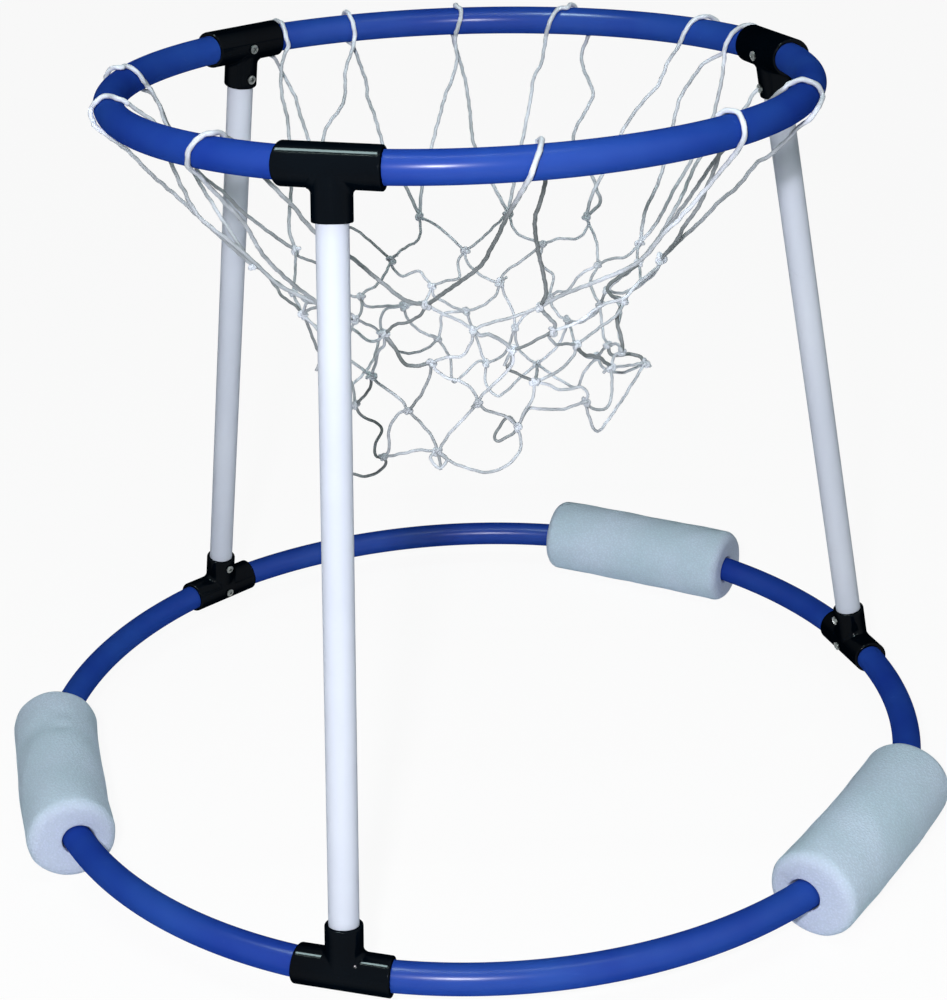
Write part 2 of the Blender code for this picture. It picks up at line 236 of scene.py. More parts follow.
# One step of arithmetic: MULTIPLY_ADD gives a * b + c.
def maths(tree, operation, *values, **settings):
    return addNode(tree, "ShaderNodeMath", dict(enumerate(values)), operation=operation, **settings).outputs[0]


# Moulded or drawn plastic: slow colour drift, fine mottling, and faint scuffs that dull the gloss.
plastic = {
    "scratchTurn": (0.4, 0.7, 0.2), "scratchScale": (40.0, 420.0, 160.0), "scratchRoughness": 0.65,
    "scratchRange": (0.62, 0.74), "patchScale": 23.0, "patchRange": (0.50, 0.68), "driftRange": (0.35, 0.68),
    "swayRange": (0.3, 0.7), "sway": (-0.04, 0.05), "dulling": 0.25, "glossLeft": 0.35, "grainDepth": 0.5,
    "scuffDepth": -0.6,
}


def makePlasticGroup():
    inputs = [
        ("Place", "Vector", (0, 0, 0)),
        ("Colour", "Color", (0.5, 0.5, 0.5, 1)),
        ("Deep Colour", "Color", (0.3, 0.3, 0.3, 1)),
        ("Scuff Colour", "Color", (0.8, 0.8, 0.8, 1)),
        ("Drift Scale", "Float", 9.0),
        ("Grain Scale", "Float", 700.0),
        ("Scuff Amount", "Float", 0.3),
        ("Roughness", "Float", 0.3),
    ]
    outputs = [("Colour", "Color"), ("Roughness", "Float"), ("Gloss", "Float"), ("Height", "Float")]
    group, given, result = newGroup("plasticSurface", inputs, outputs)
    place = given["Place"]
    drift = noise(group, place, given["Drift Scale"], 3.0)
    grain = noise(group, place, given["Grain Scale"], 2.0)
    lay = {"Vector": place, "Rotation": plastic["scratchTurn"], "Scale": plastic["scratchScale"]}
    stretched = addNode(group, "ShaderNodeMapping", lay).outputs[0]
    scratch = noise(group, stretched, 1.0, 4.0, Roughness=plastic["scratchRoughness"])
    where = noise(group, place, plastic["patchScale"], 4.0)
    line = mapRange(group, scratch, *plastic["scratchRange"])
    scuff = maths(group, "MULTIPLY", line, mapRange(group, where, *plastic["patchRange"]))
    drifted = mapRange(group, drift, *plastic["driftRange"])
    base = mixColours(group, drifted, given["Deep Colour"], given["Colour"])
    scuffed = maths(group, "MULTIPLY", scuff, given["Scuff Amount"])
    group.links.new(mixColours(group, scuffed, base, given["Scuff Colour"]), result["Colour"])
    dull = maths(group, "MULTIPLY_ADD", scuff, plastic["dulling"], given["Roughness"])
    sway = mapRange(group, where, *plastic["swayRange"], *plastic["sway"])
    group.links.new(maths(group, "ADD", dull, sway), result["Roughness"])
    group.links.new(mapRange(group, scuff, 0.0, 1.0, 1.0, plastic["glossLeft"]), result["Gloss"])
    relief = maths(group, "MULTIPLY_ADD", grain, plastic["grainDepth"], drift)
    group.links.new(maths(group, "MULTIPLY_ADD", scuff, plastic["scuffDepth"], relief), result["Height"])
    return group


# Closed-cell foam: shaded cells, slow clouds and tiny glints. End is 1 on the cut ends and in the bore, where the
# end colour is painted light: the bluer tint of the flash, against the greener tint of the top light on the wall.
foamLook = {"pitRange": (0.15, 0.62), "pitShade": 0.30, "cloudRange": (0.36, 0.66), "gritScale": 1500.0,
            "glintRange": (0.62, 0.72), "glintShare": 0.35}


def makeFoamGroup():
    inputs = [
        ("Place", "Vector", (0, 0, 0)),
        ("Colour", "Color", (0.5, 0.6, 0.6, 1)),
        ("Pale Colour", "Color", (0.8, 0.8, 0.9, 1)),
        ("Shade Colour", "Color", (0.3, 0.35, 0.4, 1)),
        ("End Colour", "Color", (0.6, 0.6, 0.8, 1)),
        ("End", "Float", 0.0),
        ("Cell Scale", "Float", 520.0),
        ("Cloud Scale", "Float", 16.0),
    ]
    group, given, result = newGroup("foamCells", inputs, [("Colour", "Color"), ("Height", "Float")])
    place = given["Place"]
    cells = addNode(group, "ShaderNodeTexVoronoi", {"Vector": place, "Scale": given["Cell Scale"]}, feature="F1")
    grit = noise(group, place, foamLook["gritScale"], 2.0)
    cloud = mapRange(group, noise(group, place, given["Cloud Scale"], 5.0), *foamLook["cloudRange"])
    wall = mixColours(group, cloud, given["Colour"], given["Pale Colour"])
    # painted light: the ends and the bore take the flash's bluer tint, and the wall the top light's greener one
    body = mixColours(group, given["End"], wall, given["End Colour"])
    pit = mapRange(group, cells.outputs["Distance"], *foamLook["pitRange"])
    shade = maths(group, "MULTIPLY", pit, foamLook["pitShade"])
    pitted = mixColours(group, shade, body, given["Shade Colour"])
    lit = maths(group, "MULTIPLY", mapRange(group, grit, *foamLook["glintRange"]), foamLook["glintShare"])
    group.links.new(mixColours(group, lit, pitted, given["Pale Colour"]), result["Colour"])
    group.links.new(maths(group, "MULTIPLY_ADD", pit, -1.0, grit), result["Height"])
    return group


# Twisted cord read from UV: fine fibres wound along the strands, with painted shade in the grooves between them.
# The mesh's own tone says how pale a stretch is, the loops over the tube painted palest as a painted highlight,
# and slow random patches darken it further.
cordLook = {"fibreScale": (2600.0, 34.0, 1.0), "fibreRange": (0.30, 0.62), "grooveShade": (0.78, 1.0),
            "blotchScale": 31.0, "blotchRange": (0.36, 0.64), "blotch": (0.60, 1.15)}


def makeCordGroup():
    inputs = [
        ("Uv", "Vector", (0, 0, 0)),
        ("Tone", "Float", 1.0),
        ("Place", "Vector", (0, 0, 0)),
        ("Colour", "Color", (0.8, 0.8, 0.8, 1)),
        ("Shade Colour", "Color", (0.4, 0.45, 0.45, 1)),
    ]
    group, given, result = newGroup("twistedCord", inputs, [("Colour", "Color"), ("Height", "Float")])
    lay = addNode(group, "ShaderNodeMapping", {"Vector": given["Uv"], "Scale": cordLook["fibreScale"]})
    fibre = noise(group, lay.outputs[0], 1.0, 3.0)
    # slow random patches, darker in places
    blotch = noise(group, given["Place"], cordLook["blotchScale"], 4.0)
    # painted shade: the cord is greyer where the fibres dip, in the grooves between them
    grooveShade = mapRange(group, fibre, *cordLook["fibreRange"], *cordLook["grooveShade"])
    patch = mapRange(group, blotch, *cordLook["blotchRange"], *cordLook["blotch"])
    share = maths(group, "MULTIPLY", grooveShade, patch)
    pale = maths(group, "MULTIPLY", share, given["Tone"], use_clamp=True)
    group.links.new(mixColours(group, pale, given["Shade Colour"], given["Colour"]), result["Colour"])
    group.links.new(fibre, result["Height"])
    return group


plasticSurface = makePlasticGroup()
foamCells = makeFoamGroup()
twistedCord = makeCordGroup()


# A Principled material fed by one of the groups. bump is (strength, distance in metres). attributes says which of
# the mesh's own values feed the group. coat is a gloss that fades between two values of Layer Weight's facing.
def makeMaterial(name, group, values, bump, coat=None, attributes=(), **constants):
    material = bpy.data.materials.new(name)
    material.use_nodes = True
    tree = material.node_tree
    shader = tree.nodes["Principled BSDF"]
    for socket, value in constants.items():
        shader.inputs[socket.replace("_", " ")].default_value = value
    coordinates = addNode(tree, "ShaderNodeTexCoord")
    effect = addNode(tree, "ShaderNodeGroup", node_tree=group)
    for socket, value in values.items():
        effect.inputs[socket].default_value = value
    tree.links.new(coordinates.outputs["Object"], effect.inputs["Place"])
    if "Uv" in effect.inputs:
        tree.links.new(coordinates.outputs["UV"], effect.inputs["Uv"])
    for socket in attributes:
        reading = addNode(tree, "ShaderNodeAttribute", attribute_name=socket.lower())
        tree.links.new(reading.outputs["Fac"], effect.inputs[socket])
    if coat:
        facing = addNode(tree, "ShaderNodeLayerWeight", {"Blend": 0.5}).outputs["Facing"]
        fade = mapRange(tree, facing, *coat["fade"], coat["weight"], 0.0)
        tree.links.new(maths(tree, "MULTIPLY", fade, effect.outputs["Gloss"]), shader.inputs["Coat Weight"])
        shader.inputs["Coat Roughness"].default_value = coat["roughness"]
    tree.links.new(effect.outputs["Colour"], shader.inputs["Base Color"])
    if "Roughness" in effect.outputs:
        tree.links.new(effect.outputs["Roughness"], shader.inputs["Roughness"])
    strength, distance = bump
    links = {"Strength": strength, "Distance": distance, "Height": effect.outputs["Height"]}
    tree.links.new(addNode(tree, "ShaderNodeBump", links).outputs[0], shader.inputs["Normal"])
    return material


bluePolyethylene = makeMaterial(
    "bluePolyethylene", plasticSurface,
    {"Colour": (0.019, 0.068, 0.35, 1), "Deep Colour": (0.011, 0.040, 0.29, 1),
     "Scuff Colour": (0.08, 0.18, 0.55, 1), "Drift Scale": 11.0, "Grain Scale": 900.0, "Scuff Amount": 0.22,
     "Roughness": 0.25},
    bump=(0.20, 0.0003), coat={"weight": 0.40, "roughness": 0.25, "fade": (0.05, 0.32)}, Specular_IOR_Level=0.0)
whitePvc = makeMaterial(
    "whitePvc", plasticSurface,
    {"Colour": (0.64, 0.69, 0.78, 1), "Deep Colour": (0.57, 0.62, 0.72, 1),
     "Scuff Colour": (0.44, 0.49, 0.54, 1), "Drift Scale": 7.0, "Grain Scale": 800.0, "Scuff Amount": 0.25,
     "Roughness": 0.30},
    bump=(0.20, 0.0002), coat={"weight": 0.40, "roughness": 0.30, "fade": (0.10, 0.45)}, Specular_IOR_Level=0.0)
blackPvc = makeMaterial(
    "blackPvc", plasticSurface,
    {"Colour": (0.0010, 0.0028, 0.0052, 1), "Deep Colour": (0.0006, 0.0016, 0.0032, 1),
     "Scuff Colour": (0.02, 0.025, 0.025, 1), "Drift Scale": 15.0, "Grain Scale": 1100.0, "Scuff Amount": 0.20,
     "Roughness": 0.10},
    bump=(0.06, 0.0002), coat={"weight": 0.11, "roughness": 0.10, "fade": (0.22, 0.45)}, Specular_IOR_Level=0.0)
zincSteel = makeMaterial(
    "zincSteel", plasticSurface,
    {"Colour": (0.30, 0.32, 0.31, 1), "Deep Colour": (0.16, 0.18, 0.18, 1),
     "Scuff Colour": (0.10, 0.10, 0.10, 1), "Drift Scale": 180.0, "Grain Scale": 2400.0, "Scuff Amount": 0.5,
     "Roughness": 0.30},
    bump=(0.2, 0.0001), Metallic=1.0)
greyPlug = makeMaterial(
    "greyPlug", plasticSurface,
    {"Colour": (0.30, 0.32, 0.35, 1), "Deep Colour": (0.25, 0.27, 0.30, 1),
     "Scuff Colour": (0.4, 0.4, 0.4, 1), "Roughness": 0.5},
    bump=(0.2, 0.0002))
# its end colour, bluer than the wall, is painted light: the flash's tint on the cut ends
paleFoam = makeMaterial(
    "paleFoam", foamCells,
    {"Colour": (0.52, 0.68, 0.79, 1), "Pale Colour": (0.62, 0.75, 0.90, 1),
     "Shade Colour": (0.36, 0.44, 0.54, 1), "End Colour": (0.55, 0.63, 0.80, 1), "Cell Scale": 520.0,
     "Cloud Scale": 16.0},
    bump=(0.6, 0.0005), attributes=["End"], Roughness=0.85, Specular_IOR_Level=0.10)
whiteCord = makeMaterial(
    "whiteCord", twistedCord,
    {"Colour": (0.78, 0.84, 0.93, 1), "Shade Colour": (0.060, 0.075, 0.068, 1)},
    bump=(0.5, 0.0002), attributes=["Tone"], Roughness=0.7, Specular_IOR_Level=0.2)
print("stage: materials made")

# The camera, which also places the net's knots. Its place is from the lower ring's middle, its angles are in
# radians, and its focal length and middle are in the photograph's pixels.
view = {"place": (0.0, -1.35574, 0.80057), "pitch": 0.4259, "roll": -0.0372, "yaw": -0.0167,
        "focal": 1867.75, "middle": (442.82, 510.51), "picture": (947, 1000)}
eye = axis + np.array(view["place"])
levelShare = math.cos(view["pitch"])
forward = np.array([math.sin(view["yaw"]) * levelShare, math.cos(view["yaw"]) * levelShare,
                    -math.sin(view["pitch"])])
levelRight = unit(np.cross(forward, up))
levelAbove = np.cross(levelRight, forward)
right = math.cos(view["roll"]) * levelRight + math.sin(view["roll"]) * levelAbove
above = math.cos(view["roll"]) * levelAbove - math.sin(view["roll"]) * levelRight


# A ring is a round section carried round a circle: centre = onRing(level, a), side = outward(a).
def blueRing(level):
    degrees = np.arange(tube["steps"]) * 360 / tube["steps"]
    out = outward(degrees)
    centres = onRing(level, degrees)
    points = carried(centres, out, np.cross(up, out), tube["diameter"] / 2, fullTurn(tube["sides"]))
    name = level + "RingTube"
    mesh = addMesh(name, points, gridFaces(tube["steps"], tube["sides"], closedRows=True))
    addUv(mesh, gridUv(np.radians(degrees) * rings[level]["radius"], tube["sides"], closedRows=True))
    addPiece(name, mesh, bluePolyethylene, [level + "_hoop"])


for level in rings:
    blueRing(level)


# Where a leg meets a ring, and the way in which it leaves it.
def legEnd(level, leg):
    ends = {each: onRing(each, legAngles[leg][each]) for each in rings}
    other = "lower" if level == "upper" else "upper"
    return ends[level], unit(ends[other] - ends[level])


# A pipe is a closed profile turned about the leg's line: up its outer wall and back down its inner one.
def whitePipe(leg):
    start, way = legEnd("upper", leg)
    end, _ = legEnd("lower", leg)
    outer, inset = pipe["diameter"] / 2, pipe["endInset"]
    inner = outer - pipe["wall"]
    along = np.linspace(inset, np.linalg.norm(end - start) - inset, pipe["steps"])
    profile = [(a, outer) for a in along] + [(a, inner) for a in along[::-1]]
    points = turned(profile, start, way, outward(legAngles[leg]["upper"]), pipe["sides"])
    name = "pipe" + leg.capitalize()
    mesh = addMesh(name, points, gridFaces(len(profile), pipe["sides"], closedRows=True))
    addPiece(name, mesh, whitePvc, ["leg_" + leg])


for leg in legAngles:
    whitePipe(leg)
print("stage: rings and pipes made")

# Black tees: a straight run along the ring and a stem for the pipe, joined and bored by Booleans.
tee = {
    "wall": 0.0024, "runWall": 0.0028, "clearance": 0.0003, "run": 0.068, "stem": 0.0343, "rim": 0.0012,
    "inward": 0.0008, "cut": 0.004, "sides": 64, "boreSides": 48, "runSteps": 23, "boreSteps": 25,
    "fillet": 0.0036, "filletBend": 74, "filletSteps": 8, "filletLimit": 0.985, "leastFillet": 0.0001,
    "stemSteps": 5, "leastSaddle": 0.002, "stemFoot": 0.002, "footShare": 0.7, "sink": 0.0012,
    "socketFrom": 0.006, "sharp": 38,
}
runRadius = tube["diameter"] / 2 + tee["clearance"] + tee["runWall"]
stemRadius = pipe["diameter"] / 2 + tee["clearance"] + tee["wall"]
# a rounded rim: rim * (1 - cos, 1 - sin) of the corner's angle
rimCorner = np.radians([0, 30, 60, 90])
rimInset = tee["rim"] * (1 - np.cos(rimCorner))
rimDrop = tee["rim"] * (1 - np.sin(rimCorner))


# A closed grid for the Booleans, taken out again when they are done.
def helper(name, points):
    rows, columns = points.shape[:2]
    return addObject(name, addMesh(name, points, gridFaces(rows, columns), capsOf(rows, columns)))


# The run's ends lie square to the ring: each point slides along by distance along * distance out / ring radius.
def teeRun(level, core, tangent, out):
    half, rim, steps = tee["run"] / 2, tee["rim"], tee["runSteps"]
    straight = np.linspace(-half + rim * 2, half - rim * 2, steps)
    lengths = np.concatenate([-half + rimInset, straight, half - rimInset[::-1]])
    radii = np.concatenate([runRadius - rimDrop, np.full(steps, runRadius), runRadius - rimDrop[::-1]])
    points = turned(np.stack([lengths, radii], -1), core, tangent, out, tee["sides"])
    away = points - core
    points += tangent * ((away @ tangent) * (away @ out) / rings[level]["radius"])[..., None]
    return helper("run", points)


# The stem: a fillet that flares out onto the run, the straight socket, and its rounded rim. The run's surface
# lies sqrt(run radius^2 - distance aside^2) from the run's middle, and the fillet gets smaller where it falls away.
def teeStem(middle, way, side, out):
    other = np.cross(way, side)
    aside = -tee["inward"] * np.dot(other, out)
    turn = fullTurn(tee["sides"])
    steepness = np.maximum(np.abs(np.sin(turn)), 1e-3)
    most = (runRadius * tee["filletLimit"] + aside * np.sign(np.sin(turn))) / steepness - stemRadius
    most = np.maximum(most, tee["leastFillet"])
    flare = (tee["fillet"] ** -4 + most ** -4) ** -0.25
    bend = np.radians(np.linspace(tee["filletBend"], 0, tee["filletSteps"]))[:, None]
    reach = stemRadius + flare * (1 - np.cos(bend))
    saddle = np.sqrt(np.maximum(runRadius ** 2 - (reach * np.sin(turn) - aside) ** 2, tee["leastSaddle"] ** 2))
    lift = saddle + flare * (1 - np.sin(bend))
    row, steps = np.ones((1, tee["sides"])), tee["stemSteps"]
    straight = between(lift[-1], tee["stem"] - tee["rim"], np.linspace(0, 1, steps + 1)[1:, None])
    rimLift = (tee["stem"] - rimInset[::-1])[1:, None] * row
    rimReach = (stemRadius - rimDrop[::-1])[1:, None] * row
    lifts = np.concatenate([tee["stemFoot"] * row, lift[:1] - tee["sink"], lift, straight, rimLift])
    foot = stemRadius * tee["footShare"] * row
    reaches = np.concatenate([foot, reach[:1], reach, np.full((steps, tee["sides"]), stemRadius), rimReach])
    section = side * np.cos(turn)[:, None] + other * np.sin(turn)[:, None]
    return helper("stem", middle + lifts[..., None] * way + reaches[..., None] * section)


# The bore follows the ring's own arc, as far past the run's ends as cut says.
def teeBore(level, degrees):
    half = tee["run"] / 2 + tee["cut"]
    angles = degrees + np.degrees(np.linspace(-half, half, tee["boreSteps"]) / rings[level]["radius"])
    out = outward(angles)
    radius = tube["diameter"] / 2 + tee["clearance"]
    return helper("bore", carried(onRing(level, angles), out, np.cross(up, out), radius, fullTurn(tee["boreSides"])))


def blackTee(level, leg):
    degrees = legAngles[leg][level]
    out = outward(degrees)
    tangent = np.cross(up, out)
    middle, way = legEnd(level, leg)
    side = unit(tangent - way * np.dot(tangent, way))
    run = teeRun(level, onRing(level, degrees, tee["inward"]), tangent, out)
    stem = teeStem(middle, way, side, out)
    bore = teeBore(level, degrees)
    radius = pipe["diameter"] / 2 + tee["clearance"]
    profile = [(tee["socketFrom"], radius), (tee["stem"] + tee["cut"], radius)]
    socket = helper("socket", turned(profile, middle, way, side, tee["boreSides"]))
    for cutter, operation in ((stem, "UNION"), (bore, "DIFFERENCE"), (socket, "DIFFERENCE")):
        step = run.modifiers.new(cutter.name, "BOOLEAN")
        step.operation, step.solver, step.object = operation, "EXACT", cutter
    graph = bpy.context.evaluated_depsgraph_get()
    mesh = bpy.data.meshes.new_from_object(run.evaluated_get(graph))
    for each in (run, stem, bore, socket):
        bpy.data.objects.remove(each, do_unlink=True)
    name = level + "Tee" + leg.capitalize()
    mesh.name = name
    addPiece(name, mesh, blackPvc, [level + "_tee_" + leg], sharp=tee["sharp"])


for leg in legAngles:
    for level in rings:
        blackTee(level, leg)
print("stage: tees made")

# Screws: each goes into the inner side of a tee, and turns says how far the cross in its head is turned.
screw = {
    "head": 0.0036, "height": 0.0022, "domeFall": 0.45, "armHalfWidth": 0.00042, "armReach": 0.0019,
    "recess": 0.0013, "softEdge": 0.06, "shank": 0.0015, "shankLength": 0.008, "length": 0.0105,
    "point": 0.0002, "stemReach": 0.026, "clearance": 0.0003, "sides": 64, "steps": 20, "sharp": 50,
    "turns": {"run": 0.4, "stem": 1.3},
}


# 1 where a value is under its limit and 0 past it, with a soft edge between.
def within(limit, value, soft):
    return np.clip((limit - value) / soft + 0.5, 0, 1)


# Head: height over radius r is height * (1 - fall * (r/R)^3), less the recess where |x| or |y| is under the
# arm's half width; then the rim, the flat underside, the shank and its point.
def screwPiece(level, leg, where, centre, face, radius, turn):
    base = centre + face * (radius + screw["clearance"])
    share = np.linspace(0.02, 1, screw["steps"])[:, None]
    turns = fullTurn(screw["sides"])[None, :]
    row = np.ones_like(turns)
    x, y = share * screw["head"] * np.cos(turns), share * screw["head"] * np.sin(turns)
    dome = screw["height"] * (1 - screw["domeFall"] * share ** 3) * row
    soft = screw["head"] * screw["softEdge"]
    arm = within(screw["armHalfWidth"], np.minimum(np.abs(x), np.abs(y)), soft)
    arm = arm * within(screw["armReach"], np.maximum(np.abs(x), np.abs(y)), soft)
    below = np.array([(screw["head"], 0.0), (screw["shank"], 0.0), (screw["shank"], -screw["shankLength"]),
                      (screw["point"], -screw["length"])])
    heights = np.concatenate([dome - screw["recess"] * arm, below[:, 1:] * row])
    reach = np.concatenate([share * screw["head"] * row, below[:, :1] * row])
    hint = unit(np.cross(face, up + 0.01))
    side = unit(hint - face * np.dot(hint, face))
    section = side * np.cos(turns + turn)[..., None] + np.cross(face, side) * np.sin(turns + turn)[..., None]
    points = base + heights[..., None] * face + reach[..., None] * section
    rows, columns = points.shape[:2]
    caps = [cap[::-1] for cap in capsOf(rows, columns)]
    name = f"{level}{leg.capitalize()}{where.capitalize()}Screw"
    mesh = addMesh(name, points, gridFaces(rows, columns)[:, ::-1], caps)
    addPiece(name, mesh, zincSteel, [f"{level}_{leg}_{where}_screw"], sharp=screw["sharp"])


for index, leg in enumerate(legAngles):
    for level in rings:
        out = outward(legAngles[leg][level])
        middle, way = legEnd(level, leg)
        face = unit(np.cross(way, np.cross(up, out)))
        if face @ out > 0:
            face = -face
        onStem = middle + way * screw["stemReach"]
        screwPiece(level, leg, "run", middle, face, runRadius + tee["inward"], screw["turns"]["run"] + index)
        screwPiece(level, leg, "stem", onStem, face, stemRadius, screw["turns"]["stem"] + index)
print("stage: screws made")

# Foam floats. A float's middle is in degrees; its dents are (share of length, degrees round, depth, size).
foam = {
    "diameter": 0.068, "bore": 0.0248, "length": 0.182, "bend": 1.900, "rim": 0.0085, "boreRim": 0.0012,
    "columns": 120, "steps": 110, "boreSteps": 30, "cornerSteps": 7, "faceSteps": 8, "slowPress": 0.00045,
    "seeds": (11, 31), "cutReach": 0.8, "sharp": 60,
}
floats = {
    "left": {"at": 194.7, "dents": [
        (0.29, 76, 0.0014, 0.013), (0.22, 106, 0.0014, 0.009), (0.35, 100, 0.0015, 0.007),
        (0.33, 50, 0.0010, 0.012), (0.62, 70, 0.0008, 0.024), (0.44, 20, 0.0008, 0.020)]},
    "right": {"at": 325.3, "dents": [(0.25, 60, 0.0008, 0.022), (0.70, 95, 0.0010, 0.022)]},
    "back": {"at": 61.2, "dents": [(0.45, 70, 0.0008, 0.024)]},
}


# A float's section as one closed profile of (distance along, radius): the near end from bore to wall with a
# rounded lip and rim, the wall, the far end, and the bore.
def floatProfile():
    length, rim, lip = foam["length"], foam["rim"], foam["boreRim"]
    big, small = foam["diameter"] / 2, foam["bore"] / 2
    corner = np.radians(np.linspace(0, 90, foam["cornerSteps"]))
    outerRim = np.stack([rim * (1 - np.cos(corner)), big - rim * (1 - np.sin(corner))], -1)
    innerLip = np.stack([lip * (1 - np.cos(corner)), small + lip * (1 - np.sin(corner))], -1)
    flat = np.linspace(big - rim, small + lip, foam["faceSteps"])[1:-1]
    nearEnd = np.concatenate([innerLip[::-1], np.stack([np.zeros(len(flat)), flat[::-1]], -1), outerRim])
    farEnd = np.stack([length - nearEnd[::-1, 0], nearEnd[::-1, 1]], -1)
    wall = np.stack([np.linspace(rim * 1.4, length - rim * 1.4, foam["steps"]), np.full(foam["steps"], big)], -1)
    boreAlong = np.linspace(lip * 1.5, length - lip * 1.5, foam["boreSteps"])[::-1]
    return np.concatenate([nearEnd, wall, farEnd, np.stack([boreAlong, np.full(len(boreAlong), small)], -1)])


# The section is carried along the float's own flatter arc. Slow sines and a few round dents press the wall in.
def foamFloat(side, index):
    facts = floats[side]
    profile = floatProfile()
    half, bend, rim, lip = foam["length"] / 2, foam["bend"], foam["rim"], foam["boreRim"]
    big, small = foam["diameter"] / 2, foam["bore"] / 2
    ringRadius = rings["lower"]["radius"]
    sagRing = ringRadius - math.sqrt(ringRadius ** 2 - half ** 2)
    sagFoam = bend - math.sqrt(bend ** 2 - half ** 2)
    middleRadius = ringRadius - (sagRing - sagFoam) / 2
    # the foam's middle follows a flat arc and the bore's follows the ring; x runs along the float, r is the radius
    x = profile[:, 0] - half
    foamRadius = middleRadius - bend + np.sqrt(bend ** 2 - x ** 2)
    boreRadius = np.sqrt(ringRadius ** 2 - x ** 2)
    outerShare = np.clip((profile[:, 1] - small - lip) / (big - rim - small - lip), 0, 1)[:, None]
    r = boreRadius + (foamRadius - boreRadius) * outerShare[:, 0]
    middleOut = outward(facts["at"])
    centres = axis + r[:, None] * middleOut + x[:, None] * np.cross(up, middleOut)
    out = outward(facts["at"] + np.degrees(x / bend))
    turns = fullTurn(foam["columns"])
    first, second = foam["seeds"]
    slow = wander(profile[:, :1] * 45 + 2.2 * np.cos(turns), first + index)
    slow = slow + wander(3 * np.sin(turns) + profile[:, :1] * 20, second + index)
    press = foam["slowPress"] * (1 - slow)
    across = (turns + np.pi) % (2 * np.pi) - np.pi
    for share, degreesRound, depth, size in facts["dents"]:
        away = (across - np.radians(degreesRound) + np.pi) % (2 * np.pi) - np.pi
        distance = np.hypot(profile[:, :1] - share * foam["length"], away * big)
        press = press + depth * np.exp(-(distance / size) ** 2)
    # angle 0 points outwards and angle 90 up, so the section is turned the other way round the path
    points = carried(centres, out, np.cross(up, out), profile[:, 1:] - press * outerShare, -turns)
    name = "float" + side.capitalize()
    mesh = addMesh(name, points, gridFaces(len(profile), foam["columns"], closedRows=True)[:, ::-1])
    # 1 on the cut ends and in the bore, 0 on the wall, shared out round the rim; it places the painted flash tint
    fromEnd = np.minimum(profile[:, 0], foam["length"] - profile[:, 0])
    cut = np.maximum(np.clip(1 - fromEnd / (rim * foam["cutReach"]), 0, 1), profile[:, 1] < big / 2)
    addAttribute(mesh, "end", np.repeat(cut, foam["columns"]))
    piece = addPiece(name, mesh, paleFoam, ["float_" + side], body=side + "_float", sharp=foam["sharp"])


for index, side in enumerate(floats):
    foamFloat(side, index)
print("stage: floats made")

# The net. A knot or bend of it is (column, row) in the photograph's pixels and its distance along the view. Tones
# run from 0, dark, to 1, pale.
net = {
    "leg": 0.0029, "strand": 0.0023, "loop": 0.0036, "slack": 0.0006, "sides": 9, "step": 0.0016, "lobe": 0.10,
    "pitch": 0.0105, "kink": 0.0004, "outerTurn": -36.0, "innerTurn": 144.0, "teeSpan": 7.4, "teeLift": 0.0040,
    "sight": np.arange(0.9, 1.8, 0.0002), "knot": 0.0088, "knotShare": 0.115, "knotCord": 0.62, "knotSides": 8,
    "knotPoints": 44, "knotWidths": (0.8, 1.2), "knotDepth": 1.3, "knotSizes": (0.85, 1.15), "knotTones": (0.85, 1.0),
    "paleTones": (0.58, 0.95), "darkTone": 0.28, "toneDrift": 0.12, "tailTone": 0.5, "tailRise": 0.0008, "sharp": 80,
}
